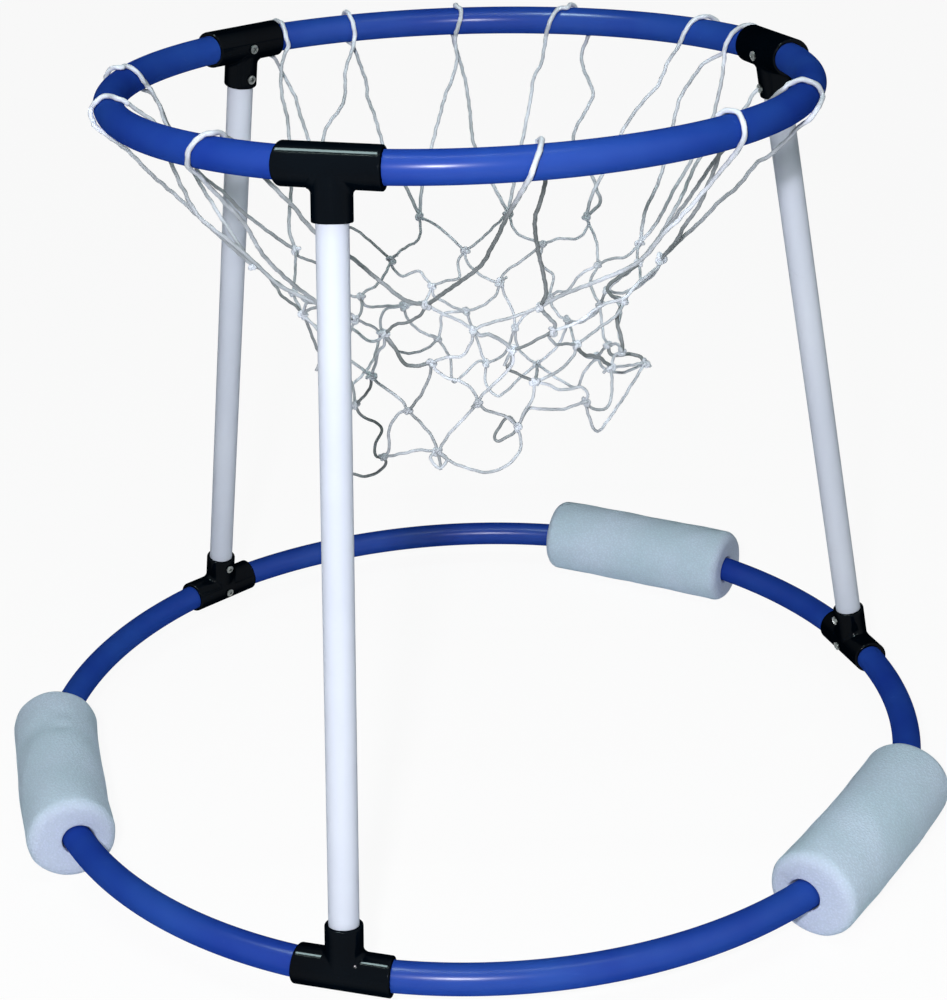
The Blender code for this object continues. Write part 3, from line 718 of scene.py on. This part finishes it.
# loop: where its outer leg leaves the tube's hidden side (a pixel, or degrees round the ring), its way over the
# tube, then the bends of its outer and its inner leg
netLoops = {
    "G": (19, [(745, 25.5), (739, 27.5), (732, 33.5), (727, 43), (724.5, 51)],
          [(754, 93), (744, 110), (700, 158), (680, 200), (657, 240)],
          [(724, 62), (722, 78), (719, 92), (712, 119), (691, 161), (675, 188), (657, 222)]),
    "F": ((713, 46), [(704, 17), (697, 18), (689, 25), (684, 34), (680, 43)],
          [(706, 62), (692, 79), (682, 94), (676, 112), (664, 165), (655, 190), (645, 212)],
          [(676, 50), (668, 62), (663, 74), (657, 87), (648, 96), (637, 109), (621, 134), (602, 175),
           (592, 195)]),
    "E": ((582, 36), [(567, 8), (560, 8), (554, 14), (549, 24), (546, 36)],
          [(582, 52), (584, 70), (592, 88), (591, 101), (573, 140), (592, 176), (597, 190), (600, 203)],
          [(544, 50), (541, 64), (533, 80), (530, 102)]),
    "D": ((452, 35), [(456, 6), (461, 10), (460, 20), (457, 30), (455, 38)],
          [(455, 45), (459, 58), (466, 84), (470, 112), (476, 150)],
          [(456, 48), (457, 60), (452, 80), (444, 100), (423, 183)]),
    "C": ((349, 40), [(347.6, 12.4), (351, 18), (354, 28), (354.4, 38)],
          [(351, 44), (356, 53), (366, 82), (368, 98), (376, 120), (385, 150), (404, 183)],
          [(353, 48), (346, 68), (345, 90), (342, 106), (325, 132), (322, 180)]),
    "B": ((279, 51), [(279, 21.5), (282.5, 24.5), (286, 36.5), (288, 46.5)],
          [(276, 60), (282, 72), (295, 97), (301, 117), (308, 138), (318, 170)],
          [(284, 57), (281, 72), (282, 95), (288, 124), (291, 187), (289, 228)]),
    "A": (165, [(121, 67.5), (126, 66), (137, 72), (143, 80), (147.5, 86)],
          [(149, 92), (157, 101), (163, 112), (169, 127), (199, 172), (222, 191), (243, 212), (280, 240)],
          [(155, 96), (161, 110), (167, 125), (205, 192)]),
    "L": (197, [(91.5, 107), (96, 102), (102, 97.5), (110, 96), (117.5, 98.5)],
          [(128, 151), (152, 175), (180, 199), (200, 218)],
          [(127, 102.5), (132, 106.5), (138, 111), (145, 115.5), (153, 121), (162, 135), (170, 160),
           (190, 203), (205, 222), (243, 252), (275, 282), (290, 291)]),
    "K": (None, [(187.5, 166), (188, 157), (190, 148.5), (196, 140), (205, 134.5), (211, 133.5)],
          [(199, 176), (222, 200), (243, 222), (258, 247), (270, 263), (294, 285)],
          [(222, 136), (231, 139), (244, 150), (265, 178), (290, 203), (315, 232), (352, 258), (380, 281),
           (405, 300)]),
    "J": (None, [(529, 179), (535, 163), (540, 150), (542, 140)],
          [(508, 215), (493, 245), (478, 268), (445, 292)],
          [(545, 182), (535, 220), (538, 250), (546, 290)]),
    "I": (None, [(736.5, 151.5), (743, 140), (744.5, 127), (740, 115), (735, 111.5)],
          [(716, 177), (683, 215), (665, 232), (641, 260), (610, 276), (590, 284), (562, 295)],
          [(727, 113), (721, 125), (719, 155), (707, 187), (698, 207), (683, 228), (677, 240)]),
    "H": (None, [(812, 119), (820, 104), (822.5, 94), (817, 85.5), (809, 81), (800, 80), (788, 84)],
          [(797, 129), (773, 153), (757, 163), (738, 186), (720, 201), (700, 222), (680, 240)],
          [(778, 93), (770, 101), (750, 122), (719, 155), (684, 205)]),
}
# first row: the knot where a loop's inner leg meets the next loop's outer leg; then four more rows, a to l
netKnots = {
    "GF": (640, 243, 1.489), "FE": (586, 217, 1.525), "ED": (508, 213, 1.537), "DC": (420, 217, 1.544),
    "CB": (335, 232, 1.513), "BA": (296, 250, 1.496), "AL": (253, 266, 1.417), "LK": (322, 306, 1.337),
    "KJ": (427, 305, 1.274), "JI": (540, 307, 1.292), "IH": (661, 259, 1.327), "HG": (639, 263, 1.413),
    "2a": (598, 265, 1.471), "2b": (543, 244, 1.505), "2c": (465, 251, 1.52), "2d": (391, 260, 1.503),
    "2e": (334, 272, 1.466), "2f": (293, 293, 1.422), "2g": (303, 315, 1.388), "2h": (384, 334, 1.325),
    "2i": (473, 330, 1.306), "2j": (553, 331, 1.321), "2k": (624, 302, 1.382), "2l": (607, 290, 1.442),
    "3a": (549, 296, 1.497), "3b": (500, 283, 1.512), "3c": (432, 286, 1.507), "3d": (361, 297, 1.469),
    "3e": (340, 312, 1.452), "3f": (334, 338, 1.42), "3g": (371, 376, 1.369), "3h": (431, 363, 1.341),
    "3i": (512, 350, 1.334), "3j": (576, 345, 1.359), "3k": (622, 352, 1.396), "3l": (600, 304, 1.456),
    "4a": (515, 328, 1.521), "4b": (466, 311, 1.521), "4c": (404, 306, 1.5), "4d": (355, 319, 1.466),
    "4e": (343, 352, 1.445), "4f": (355, 405, 1.399), "4g": (408, 411, 1.366), "4h": (478, 403, 1.347),
    "4i": (535, 382, 1.35), "4j": (611, 367, 1.396), "4k": (608, 345, 1.449), "4l": (567, 320, 1.499),
    "5a": (486, 363, 1.541), "5b": (438, 339, 1.53), "5c": (381, 333, 1.502), "5d": (342, 388, 1.47),
    "5e": (336, 436, 1.43), "5f": (383, 457, 1.391), "5g": (438, 452, 1.366), "5h": (518, 427, 1.355),
    "5i": (585, 402, 1.377), "5j": (645, 363, 1.44), "5k": (597, 357, 1.48), "5l": (537, 364, 1.535),
}
# strand: its two knots and the bends between them
netStrands = [
    ("GF", "2a", [(637, 247), (625, 257), (610, 259)]), ("FE", "2a", [(594, 235), (597, 245)]),
    ("FE", "2b", [(588, 226), (578, 238), (558, 239)]), ("ED", "2b", [(517, 233)]),
    ("ED", "2c", [(480, 240)]), ("DC", "2c", [(440, 228)]), ("DC", "2d", [(419, 238), (402, 250)]),
    ("CB", "2d", [(352, 228), (370, 241)]), ("CB", "2e", [(333, 252)]),
    ("BA", "2e", [(300, 257), (317, 263)]), ("BA", "2f", [(295, 275)]),
    ("AL", "2f", [(262, 270), (275, 281)]), ("AL", "2g", [(262, 270), (275, 285), (283, 297), (297, 307)]),
    ("LK", "2g", [(317, 307), (308, 310)]), ("LK", "2h", [(345, 322), (367, 340), (378, 340)]),
    ("KJ", "2h", [(420, 315), (408, 322), (395, 325)]), ("KJ", "2i", [(443, 314), (460, 321)]),
    ("JI", "2i", [(510, 318), (490, 323)]), ("JI", "2j", [(543, 312), (554, 323)]),
    ("IH", "2j", [(657, 268), (640, 281), (625, 297), (601, 306), (578, 322)]),
    ("IH", "2k", [(655, 272), (640, 285), (630, 292)]),
    ("HG", "2k", [(637, 265), (609, 285), (611, 295), (619, 298)]), ("HG", "2l", [(634, 268), (618, 280)]),
    ("GF", "2l", [(637, 255), (640, 281), (622, 293)]), ("2a", "3a", [(580, 275), (568, 290), (558, 292)]),
    ("2b", "3a", [(540, 262), (553, 275), (552, 285)]), ("2b", "3b", [(520, 262), (505, 272)]),
    ("2c", "3b", [(467, 262), (478, 273), (490, 280)]), ("2c", "3c", [(458, 262), (459, 278), (445, 281)]),
    ("2d", "3c", [(393, 268), (402, 276), (418, 271), (426, 279)]),
    ("2d", "3d", [(388, 268), (378, 284), (366, 291)]), ("2e", "3d", [(340, 290), (352, 296)]),
    ("2e", "3e", [(334, 292)]), ("2f", "3e", [(300, 295), (306, 302), (322, 304)]),
    ("2f", "3f", [(297, 303), (306, 318), (316, 326)]),
    ("2g", "3f", [(308, 325), (313, 338), (319, 352), (328, 350)]),
    ("2g", "3g", [(318, 330), (338, 352), (358, 366)]), ("2h", "3g", [(384, 345), (378, 352), (376, 362)]),
    ("2h", "3h", [(393, 345), (403, 362), (413, 366)]), ("2i", "3h", [(471, 343), (462, 356), (448, 357)]),
    ("2i", "3i", [(480, 335), (490, 335), (505, 343)]), ("2j", "3i", [(540, 338), (525, 346)]),
    ("2j", "3j", [(549, 337), (556, 344), (566, 344)]), ("2k", "3j", [(616, 316), (600, 327), (586, 338)]),
    ("2k", "3k", [(617, 316), (619, 330), (622, 340)]),
    ("2l", "3k", [(616, 300), (621, 312), (618, 328), (622, 345)]), ("2l", "3l", [(603, 297)]),
    ("2a", "3l", [(591, 280), (592, 290)]), ("3a", "4a", [(540, 306), (524, 316)]),
    ("3b", "4a", [(505, 295), (513, 312)]), ("3b", "4b", [(495, 296), (480, 307)]),
    ("3c", "4b", [(434, 296), (445, 302), (455, 308)]), ("3c", "4c", [(426, 300), (418, 303)]),
    ("3d", "4c", [(363, 303), (370, 307), (386, 306)]), ("3d", "4d", [(362, 306), (361, 313)]),
    ("3e", "4d", [(346, 318)]), ("3e", "4e", [(338, 330)]), ("3f", "4e", [(336, 346)]),
    ("3f", "4f", [(338, 365), (352, 384)]), ("3g", "4f", [(370, 388), (362, 398)]),
    ("3g", "4g", [(382, 386), (395, 395), (402, 401)]), ("3h", "4g", [(430, 375), (422, 393), (414, 404)]),
    ("3h", "4h", [(436, 370), (447, 378), (460, 381), (471, 388), (476, 396)]),
    ("3i", "4h", [(513, 361), (508, 370), (490, 388), (482, 395)]),
    ("3i", "4i", [(511, 362), (507, 368), (518, 374)]), ("3j", "4i", [(574, 355), (562, 368), (545, 378)]),
    ("3j", "4j", [(583, 354), (597, 357), (605, 362)]), ("3k", "4j", [(614, 356)]),
    ("3k", "4k", [(617, 344)]), ("3l", "4k", [(602, 325), (604, 337)]),
    ("3l", "4l", [(598, 311), (580, 322)]), ("3a", "4l", [(553, 307), (560, 316)]),
    ("4a", "5a", [(505, 353), (490, 362)]), ("4b", "5a", [(473, 330), (478, 342), (482, 355)]),
    ("4b", "5b", [(443, 314), (441, 328)]), ("4c", "5b", [(407, 318), (420, 331)]),
    ("4c", "5c", [(386, 309), (381, 318)]), ("4d", "5c", [(373, 327)]),
    ("4d", "5d", [(346, 345), (343, 366)]), ("4e", "5d", [(342, 370)]),
    ("4e", "5e", [(338, 385), (335, 412)]), ("4f", "5e", [(346, 415)]),
    ("4f", "5f", [(362, 416), (375, 422), (382, 430), (375, 445), (376, 456)]),
    ("4g", "5f", [(398, 414), (389, 430), (389, 450)]), ("4g", "5g", [(420, 422), (432, 437)]),
    ("4h", "5g", [(465, 417), (447, 437)]), ("4h", "5h", [(488, 411), (505, 416)]),
    ("4i", "5h", [(532, 400), (525, 411)]), ("4i", "5i", [(546, 384), (562, 390), (580, 387), (588, 394)]),
    ("4j", "5i", [(612, 390), (609, 405), (599, 410), (590, 407)]), ("4j", "5j", [(625, 366)]),
    ("4k", "5j", [(612, 355), (630, 354), (640, 357)]), ("4k", "5k", [(601, 352)]),
    ("4l", "5k", [(572, 332), (576, 348), (588, 357)]), ("4l", "5l", [(565, 331), (558, 345), (546, 357)]),
    ("4a", "5l", [(517, 345), (526, 357)]), ("5a", "5b", [(477, 362), (458, 380), (452, 380), (450, 358)]),
    ("5b", "5c", [(424, 350), (400, 352)]), ("5c", "5d", [(372, 362), (355, 382)]),
    ("5d", "5e", [(345, 410), (340, 428)]), ("5e", "5f", [(340, 466), (362, 476), (378, 472), (386, 463)]),
    ("5f", "5g", [(400, 454), (420, 450)]),
    ("5g", "5h", [(450, 461), (470, 469), (492, 472), (512, 461), (521, 447)]),
    ("5h", "5i", [(528, 409), (540, 409), (562, 409)]),
    ("5i", "5j", [(590, 420), (596, 431), (602, 428), (622, 400)]), ("5j", "5k", [(625, 372), (606, 370)]),
    ("5k", "5l", [(584, 372), (577, 387), (560, 380)]),
    ("5l", "5a", [(520, 378), (505, 392), (497, 396), (486, 384)]),
    ("5h", "5h", [(508, 417), (495, 435), (498, 441), (512, 434)]),
    ("5g", "5g", [(430, 458), (440, 468), (447, 458)]), ("5l", "4i", [(537, 372)]),
    ("2g", "LK", [(306, 304), (312, 300)]),
]
# the strands that look thicker
netThick = [
    ("IH", "2k"), ("HG", "2k"), ("2k", "3k"), ("3j", "4j"), ("JI", "2j"), ("2i", "3i"), ("4k", "5j"),
    ("2h", "3h"), ("3l", "4l"),
]
# tones of the outer and the inner leg of each loop, and the strands that look dark
legTones = {
    "G": (0.8, 0.85), "F": (0.75, 0.85), "E": (0.7, 0.8), "D": (0.7, 0.75), "C": (0.65, 0.7),
    "B": (0.6, 0.65), "A": (0.45, 0.75), "L": (0.6, 0.55), "K": (0.6, 0.35), "J": (0.22, 0.24),
    "I": (0.8, 0.35), "H": (0.6, 0.5),
}
netDark = [
    ("CB", "2d"), ("KJ", "2h"), ("2h", "3h"), ("3i", "4i"), ("3g", "4f"), ("4f", "5f"), ("2k", "3k"),
    ("3j", "4j"), ("2g", "3f"), ("HG", "2k"), ("3d", "4d"), ("2l", "3l"), ("5e", "5f"), ("3h", "4g"),
    ("BA", "2e"), ("AL", "2g"), ("5h", "5h"), ("2j", "3i"), ("4k", "5j"), ("3e", "4d"),
]
# loose ends: the knot that each comes out of, and the pixel where it ends
netTails = [
    ("5g", (441, 470)), ("4j", (603, 373)), ("5j", (651, 367)), ("3i", (504, 366)), ("4h", (472, 408)),
    ("2d", (398, 255)), ("3f", (316, 371)), ("3b", (507, 277)), ("5b", (430, 335)), ("4d", (349, 313)),
]


# The point seen at a pixel, a distance away along the view: eye + distance * (forward + right * x + above * -y).
def seen(pixel, distance):
    x, y = (np.asarray(pixel, float) - view["middle"]) / view["focal"]
    return eye + distance * (forward + right * x - above * y)


# The other way round: the pixel at which a point is seen, and its distance along the view.
def onPicture(point):
    away = point - eye
    distance = away @ forward
    return np.array(view["middle"]) + view["focal"] * np.array([away @ right, -(away @ above)]) / distance, distance


# Bends between two known points: each lies where the picture shows it, its distance shared out along the strand.
def bendsBetween(start, bends, end):
    (first, near), (last, far) = onPicture(start), onPicture(end)
    flat = np.vstack([first, *bends, last])
    share = lengthAlong(flat)
    share = share / share[-1]
    return [seen(flat[k], near + (far - near) * share[k]) for k in range(1, len(flat) - 1)]


# A smooth line through all its control points (Catmull-Rom), then even steps along it. The fourth number of each
# control point is the cord's width there and the fifth its tone.
def smoothLine(controls, step):
    padded = np.vstack([2 * controls[0] - controls[1], controls, 2 * controls[-1] - controls[-2]])
    p0, p1, p2, p3 = padded[:-3, None], padded[1:-2, None], padded[2:-1, None], padded[3:, None]
    t = np.linspace(0, 1, 12, endpoint=False)[None, :, None]
    square, cube = 2 * p0 - 5 * p1 + 4 * p2 - p3, 3 * p1 - p0 - 3 * p2 + p3
    spans = 0.5 * (2 * p1 + (p2 - p0) * t + square * t ** 2 + cube * t ** 3)
    line = np.vstack([spans.reshape(-1, 5), controls[-1:]])
    along = lengthAlong(line[:, :3])
    even = np.linspace(0, along[-1], max(4, int(along[-1] / step)) + 1)
    line = np.stack([np.interp(even, along, line[:, k]) for k in range(5)], -1)
    return line[:, :3], line[:, 3], line[:, 4]


# Small slow kinks, none at the ends.
def kinked(path, seed, amount):
    along = lengthAlong(path)
    fade = np.minimum(1, np.sin(np.pi * along / along[-1]) * 2)
    shake = [wander(along * 100, seed * 3 + k, waves=4, slowest=1.2, fastest=6.0) for k in range(3)]
    return path + np.stack(shake, -1) * amount * fade[:, None]


# One cord: a three-lobed section, radius * (1 + lobe * cos 3a), that turns once in every three pitches. Its side
# is carried on from step to step, so that only the lay turns it.
def cordSurface(path, width):
    along = lengthAlong(path)
    turns = fullTurn(net["sides"])
    radii = width[:, None] / 2 * (1 + net["lobe"] * np.cos(3 * turns))
    angles = turns[None, :] + (2 * np.pi / 3 * along / net["pitch"])[:, None]
    ways = tangents(path)
    sides = np.empty_like(path)
    sides[0] = np.cross(ways[0], (0.31, 0.17, 0.93))
    for k in range(1, len(path)):
        sides[k] = sides[k - 1] - ways[k] * (sides[k - 1] @ ways[k])
        sides[k] /= np.linalg.norm(sides[k])
    return carried(path, sides, ways, radii, angles), along


# Many grids gathered into one mesh.
class Pile:
    def __init__(self):
        self.points, self.faces, self.caps, self.uv, self.tones, self.count = [], [], [], [], [], 0

    def add(self, points, along, tone, closed=False):
        rows, columns = points.shape[:2]
        self.tones.append(np.repeat(tone, columns))
        self.points.append(points.reshape(-1, 3))
        self.faces.append(gridFaces(rows, columns, closedRows=closed) + self.count)
        self.uv.append(gridUv(along, columns, closedRows=closed))
        if not closed:
            self.caps += [cap + self.count for cap in capsOf(rows, columns)]
        self.count += rows * columns

    def mesh(self, name):
        made = addMesh(name, np.vstack(self.points), np.vstack(self.faces), self.caps)
        addUv(made, np.vstack(self.uv))
        addAttribute(made, "tone", np.concatenate(self.tones))
        return made


# Where a sight line first meets the loops' path round the upper ring's tube, or passes nearest to it: degrees
# round the ring, and degrees round the tube from its outer side over its top.
def onTube(pixel, reach):
    points = eye + net["sight"][:, None] * (seen(pixel, 1.0) - eye)
    flat = points[:, :2] - axis[:2]
    out = np.linalg.norm(flat, axis=1) - rings["upper"]["radius"]
    rise = points[:, 2] - rings["upper"]["height"]
    off = np.hypot(out, rise) - reach
    k = np.argmax(off < 0) if (off < 0).any() else np.argmin(off)
    return np.degrees([math.atan2(flat[k, 1], flat[k, 0]), math.atan2(rise[k], out[k])]) % 360


# A loop's way over the tube: up its hidden outer side from where the outer leg leaves it, along the pixels that
# the picture shows, and on to where the inner leg leaves it. Beside a leg it lies on the tee, which is thicker.
def loopOver(leaves, shown):
    reach = tube["diameter"] / 2 + net["loop"] / 2 + net["slack"]
    path = np.array([onTube(pixel, reach) for pixel in shown])
    path[path[:, 1] > 270, 1] -= 360
    if leaves:
        start = leaves if np.isscalar(leaves) else onTube(leaves, reach)[0]
        share = np.linspace(0, 1, 6)[:-1]
        hidden = [between(start, path[0, 0], share ** 0.2), between(net["outerTurn"], path[0, 1], share)]
        path = np.vstack([np.stack(hidden, -1), path])
    if path[-1, 1] < net["innerTurn"]:
        share = np.linspace(0, 1, 4)[1:, None]
        path = np.vstack([path, path[-1] + ([path[-1, 0], net["innerTurn"]] - path[-1]) * share])
    turn = np.radians(path[:, 1])[:, None]
    side = np.cos(turn) * outward(path[:, 0]) + np.sin(turn) * up
    fromTee = np.min([abs(path[:, 0] - angles["upper"]) for angles in legAngles.values()], axis=0)
    reach = np.where(fromTee < net["teeSpan"], reach + net["teeLift"], reach)[:, None]
    return onRing("upper", path[:, 0]) + side * reach


# A knot is a short cord tied in a trefoil: (sin t + 2 sin 2t, cos t - 2 cos 2t, -sin 3t), scaled and turned.
def addKnots(pile, places, seed):
    draw = np.random.default_rng(seed)
    t = np.linspace(0, 2 * np.pi, net["knotPoints"], endpoint=False)
    trefoil = np.stack([np.sin(t) + 2 * np.sin(2 * t), np.cos(t) - 2 * np.cos(2 * t), -np.sin(3 * t)], -1)
    for place in places:
        turn = np.array(Matrix.Rotation(draw.uniform(0, 6.28), 3, Vector(unit(draw.normal(size=3)))))
        stretch = np.array([1, draw.uniform(*net["knotWidths"]), net["knotDepth"]]) * draw.uniform(*net["knotSizes"])
        path = (trefoil * stretch * net["knot"] * net["knotShare"]) @ turn.T + place
        ways = unit(np.roll(path, -1, axis=0) - np.roll(path, 1, axis=0))
        hint = np.tile(turn @ up, (len(path), 1))
        points = carried(path, hint, ways, net["strand"] * net["knotCord"], fullTurn(net["knotSides"]))
        tone = draw.uniform(*net["knotTones"])
        pile.add(points, np.linspace(0, 0.05, len(path)), np.full(len(path), tone), closed=True)


# The control points, widths and tones of every cord: twelve loops with their two legs, the strands and the tails.
def netLines(knots):
    names = list(netLoops)
    draw = np.random.default_rng(19)
    lines = []
    for i, name in enumerate(names):
        leaves, shown, outer, inner = netLoops[name]
        before = knots[names[i - 1] + name]
        after = knots[name + names[(i + 1) % len(names)]]
        loop = loopOver(leaves, shown)
        first, last = bendsBetween(before, outer[::-1], loop[0]), bendsBetween(loop[-1], inner, after)
        counts = (1 + len(first), len(loop), 1 + len(last))
        widths = np.repeat([net["leg"], net["loop"], net["leg"]], counts)
        # the loop over the tube gets tone 1, a painted highlight for the flash light on the wraps
        tones = np.repeat([legTones[name][0], 1.0, legTones[name][1]], counts)
        lines.append(([before, *first, *loop, *last, after], widths, tones))
    for first, last, bends in netStrands:
        start, end = knots[first], knots[last]
        width = net["leg"] if (first, last) in netThick else net["strand"]
        tone = net["darkTone"] if (first, last) in netDark else draw.uniform(*net["paleTones"])
        count = 2 + len(bends)
        tones = tone + draw.uniform(-net["toneDrift"], net["toneDrift"], count)
        lines.append(([start, *bendsBetween(start, bends, end), end], [width] * count, tones))
    for name, pixel in netTails:
        start, end = knots[name], seen(pixel, netKnots[name][2])
        middle = between(start, end, 0.5) + up * net["tailRise"]
        lines.append(([start, middle, end], [net["strand"]] * 3, [net["tailTone"]] * 3))
    return lines


def cordNet():
    knots = {name: seen(facts[:2], facts[2]) for name, facts in netKnots.items()}
    pile = Pile()
    for index, (controls, widths, tones) in enumerate(netLines(knots)):
        path, width, tone = smoothLine(np.column_stack([np.array(controls), widths, tones]), net["step"])
        points, along = cordSurface(kinked(path, index, net["kink"]), width)
        pile.add(points, along, tone)
    addKnots(pile, knots.values(), 7)
    addPiece("cordNet", pile.mesh("cordNet"), whiteCord, ["net"], sharp=net["sharp"])
    return sum(len(faces) for faces in pile.faces)


print("stage: net made, faces", cordNet())

# the two plugs inside the rings keep their CAD meshes
for level in rings:
    plug = frame["nodes"][level + "_hoop_plug"]
    plug.data.materials.clear()
    plug.data.materials.append(greyPlug)

# Floor, lamps and camera. A lamp has its place, size, power in watts, colour and the point that it faces.
studio = {
    "floorSize": 14.0, "floorShade": 0.85, "floorLift": 0.93, "surround": 0.12, "backdrop": 0.936,
    "aim": (0.0, 0.0, 0.28),
    "key": {"place": (-0.14, -1.42, 0.98), "size": (0.10, 0.10), "power": 19.0, "colour": (1.0, 0.97, 1.0)},
    "fill": {"place": (1.7, -1.0, 1.5), "size": (1.6, 1.6), "power": 3.0, "colour": (0.85, 1.0, 0.90)},
    "strip": {"place": (-0.08, -0.50, 2.0), "size": (1.6, 0.012), "power": 9.5, "colour": (0.80, 1.0, 0.92),
              "aim": (-0.08, -0.30, 0.3)},
    "glint": {"place": (-0.63, -0.10, 2.0), "size": (0.34, 0.34), "power": 34.0, "colour": (0.74, 1.0, 1.0),
              "aim": (-0.07, -0.24, 0.56)},
}


# 1 for the camera's rays and for those in gloss and glass, which show the plain background, and 0 for the rest.
def backgroundShare(tree):
    rays = addNode(tree, "ShaderNodeLightPath").outputs
    most = maths(tree, "MAXIMUM", rays["Is Camera Ray"], rays["Is Glossy Ray"])
    return maths(tree, "MAXIMUM", most, rays["Is Transmission Ray"])


def makeFloor():
    size = studio["floorSize"] / 2
    corners = np.array([(-size, -size, 0), (size, -size, 0), (size, size, 0), (-size, size, 0)])
    floor = addObject("floor", addMesh("floor", corners, np.array([(0, 1, 2, 3)])))
    material = bpy.data.materials.new("paleFloor")
    material.use_nodes = True
    tree = material.node_tree
    tree.nodes.clear()
    out = addNode(tree, "ShaderNodeOutputMaterial")
    matt = addNode(tree, "ShaderNodeBsdfDiffuse", {"Color": (studio["floorShade"],) * 3 + (1,)})
    glow = addNode(tree, "ShaderNodeEmission", {"Color": (1, 1, 1, 1), "Strength": 1.0})
    share = maths(tree, "MULTIPLY", backgroundShare(tree), studio["floorLift"])
    mix = addNode(tree, "ShaderNodeMixShader", {0: share, 1: matt.outputs[0], 2: glow.outputs[0]})
    tree.links.new(mix.outputs[0], out.inputs[0])
    floor.data.materials.append(material)


# The backdrop is as pale as the floor far off, so that no edge shows between them.
def makeWorld():
    world = bpy.data.worlds.new("paleStudio")
    world.use_nodes = True
    tree = world.node_tree
    back = tree.nodes["Background"]
    back.inputs["Color"].default_value = (1, 1, 1, 1)
    strength = mapRange(tree, backgroundShare(tree), 0.0, 1.0, studio["surround"], studio["backdrop"])
    tree.links.new(strength, back.inputs["Strength"])
    bpy.context.scene.world = world


# A rectangle of light turned to face its aim.
def makeLamp(name):
    facts = studio[name]
    lamp = bpy.data.lights.new(name + "Lamp", "AREA")
    lamp.shape, lamp.energy, lamp.color = "RECTANGLE", facts["power"], facts["colour"]
    lamp.size, lamp.size_y = facts["size"]
    holder = addObject(name + "Lamp", lamp)
    holder.location = facts["place"]
    aim = Vector(facts.get("aim", studio["aim"]))
    holder.rotation_euler = (aim - holder.location).to_track_quat("-Z", "Y").to_euler()
    return holder


# The shift puts the photograph's middle where the view has it; sensor and focal length are in millimetres.
def makeCamera(sensor=36):
    data = bpy.data.cameras.new("photoCamera")
    wide, high = view["picture"]
    data.sensor_width = sensor
    data.lens = view["focal"] * sensor / max(wide, high)
    data.shift_x = (wide / 2 - view["middle"][0]) / max(wide, high)
    data.shift_y = (view["middle"][1] - high / 2) / max(wide, high)
    camera = addObject("photoCamera", data)
    camera.matrix_world = Matrix([[right[k], above[k], -forward[k], eye[k]] for k in range(3)] + [[0, 0, 0, 1]])
    bpy.context.scene.camera = camera


makeFloor()
makeWorld()
for lampName in ("key", "fill", "strip"):
    makeLamp(lampName)
# this one shows only in gloss, as the thin line along the tops of the black tees
makeLamp("glint").visible_diffuse = False
makeCamera()
bpy.context.scene.view_settings.view_transform = "Standard"
print("stage: floor, lamps and camera made")

bpy.context.view_layer.update()
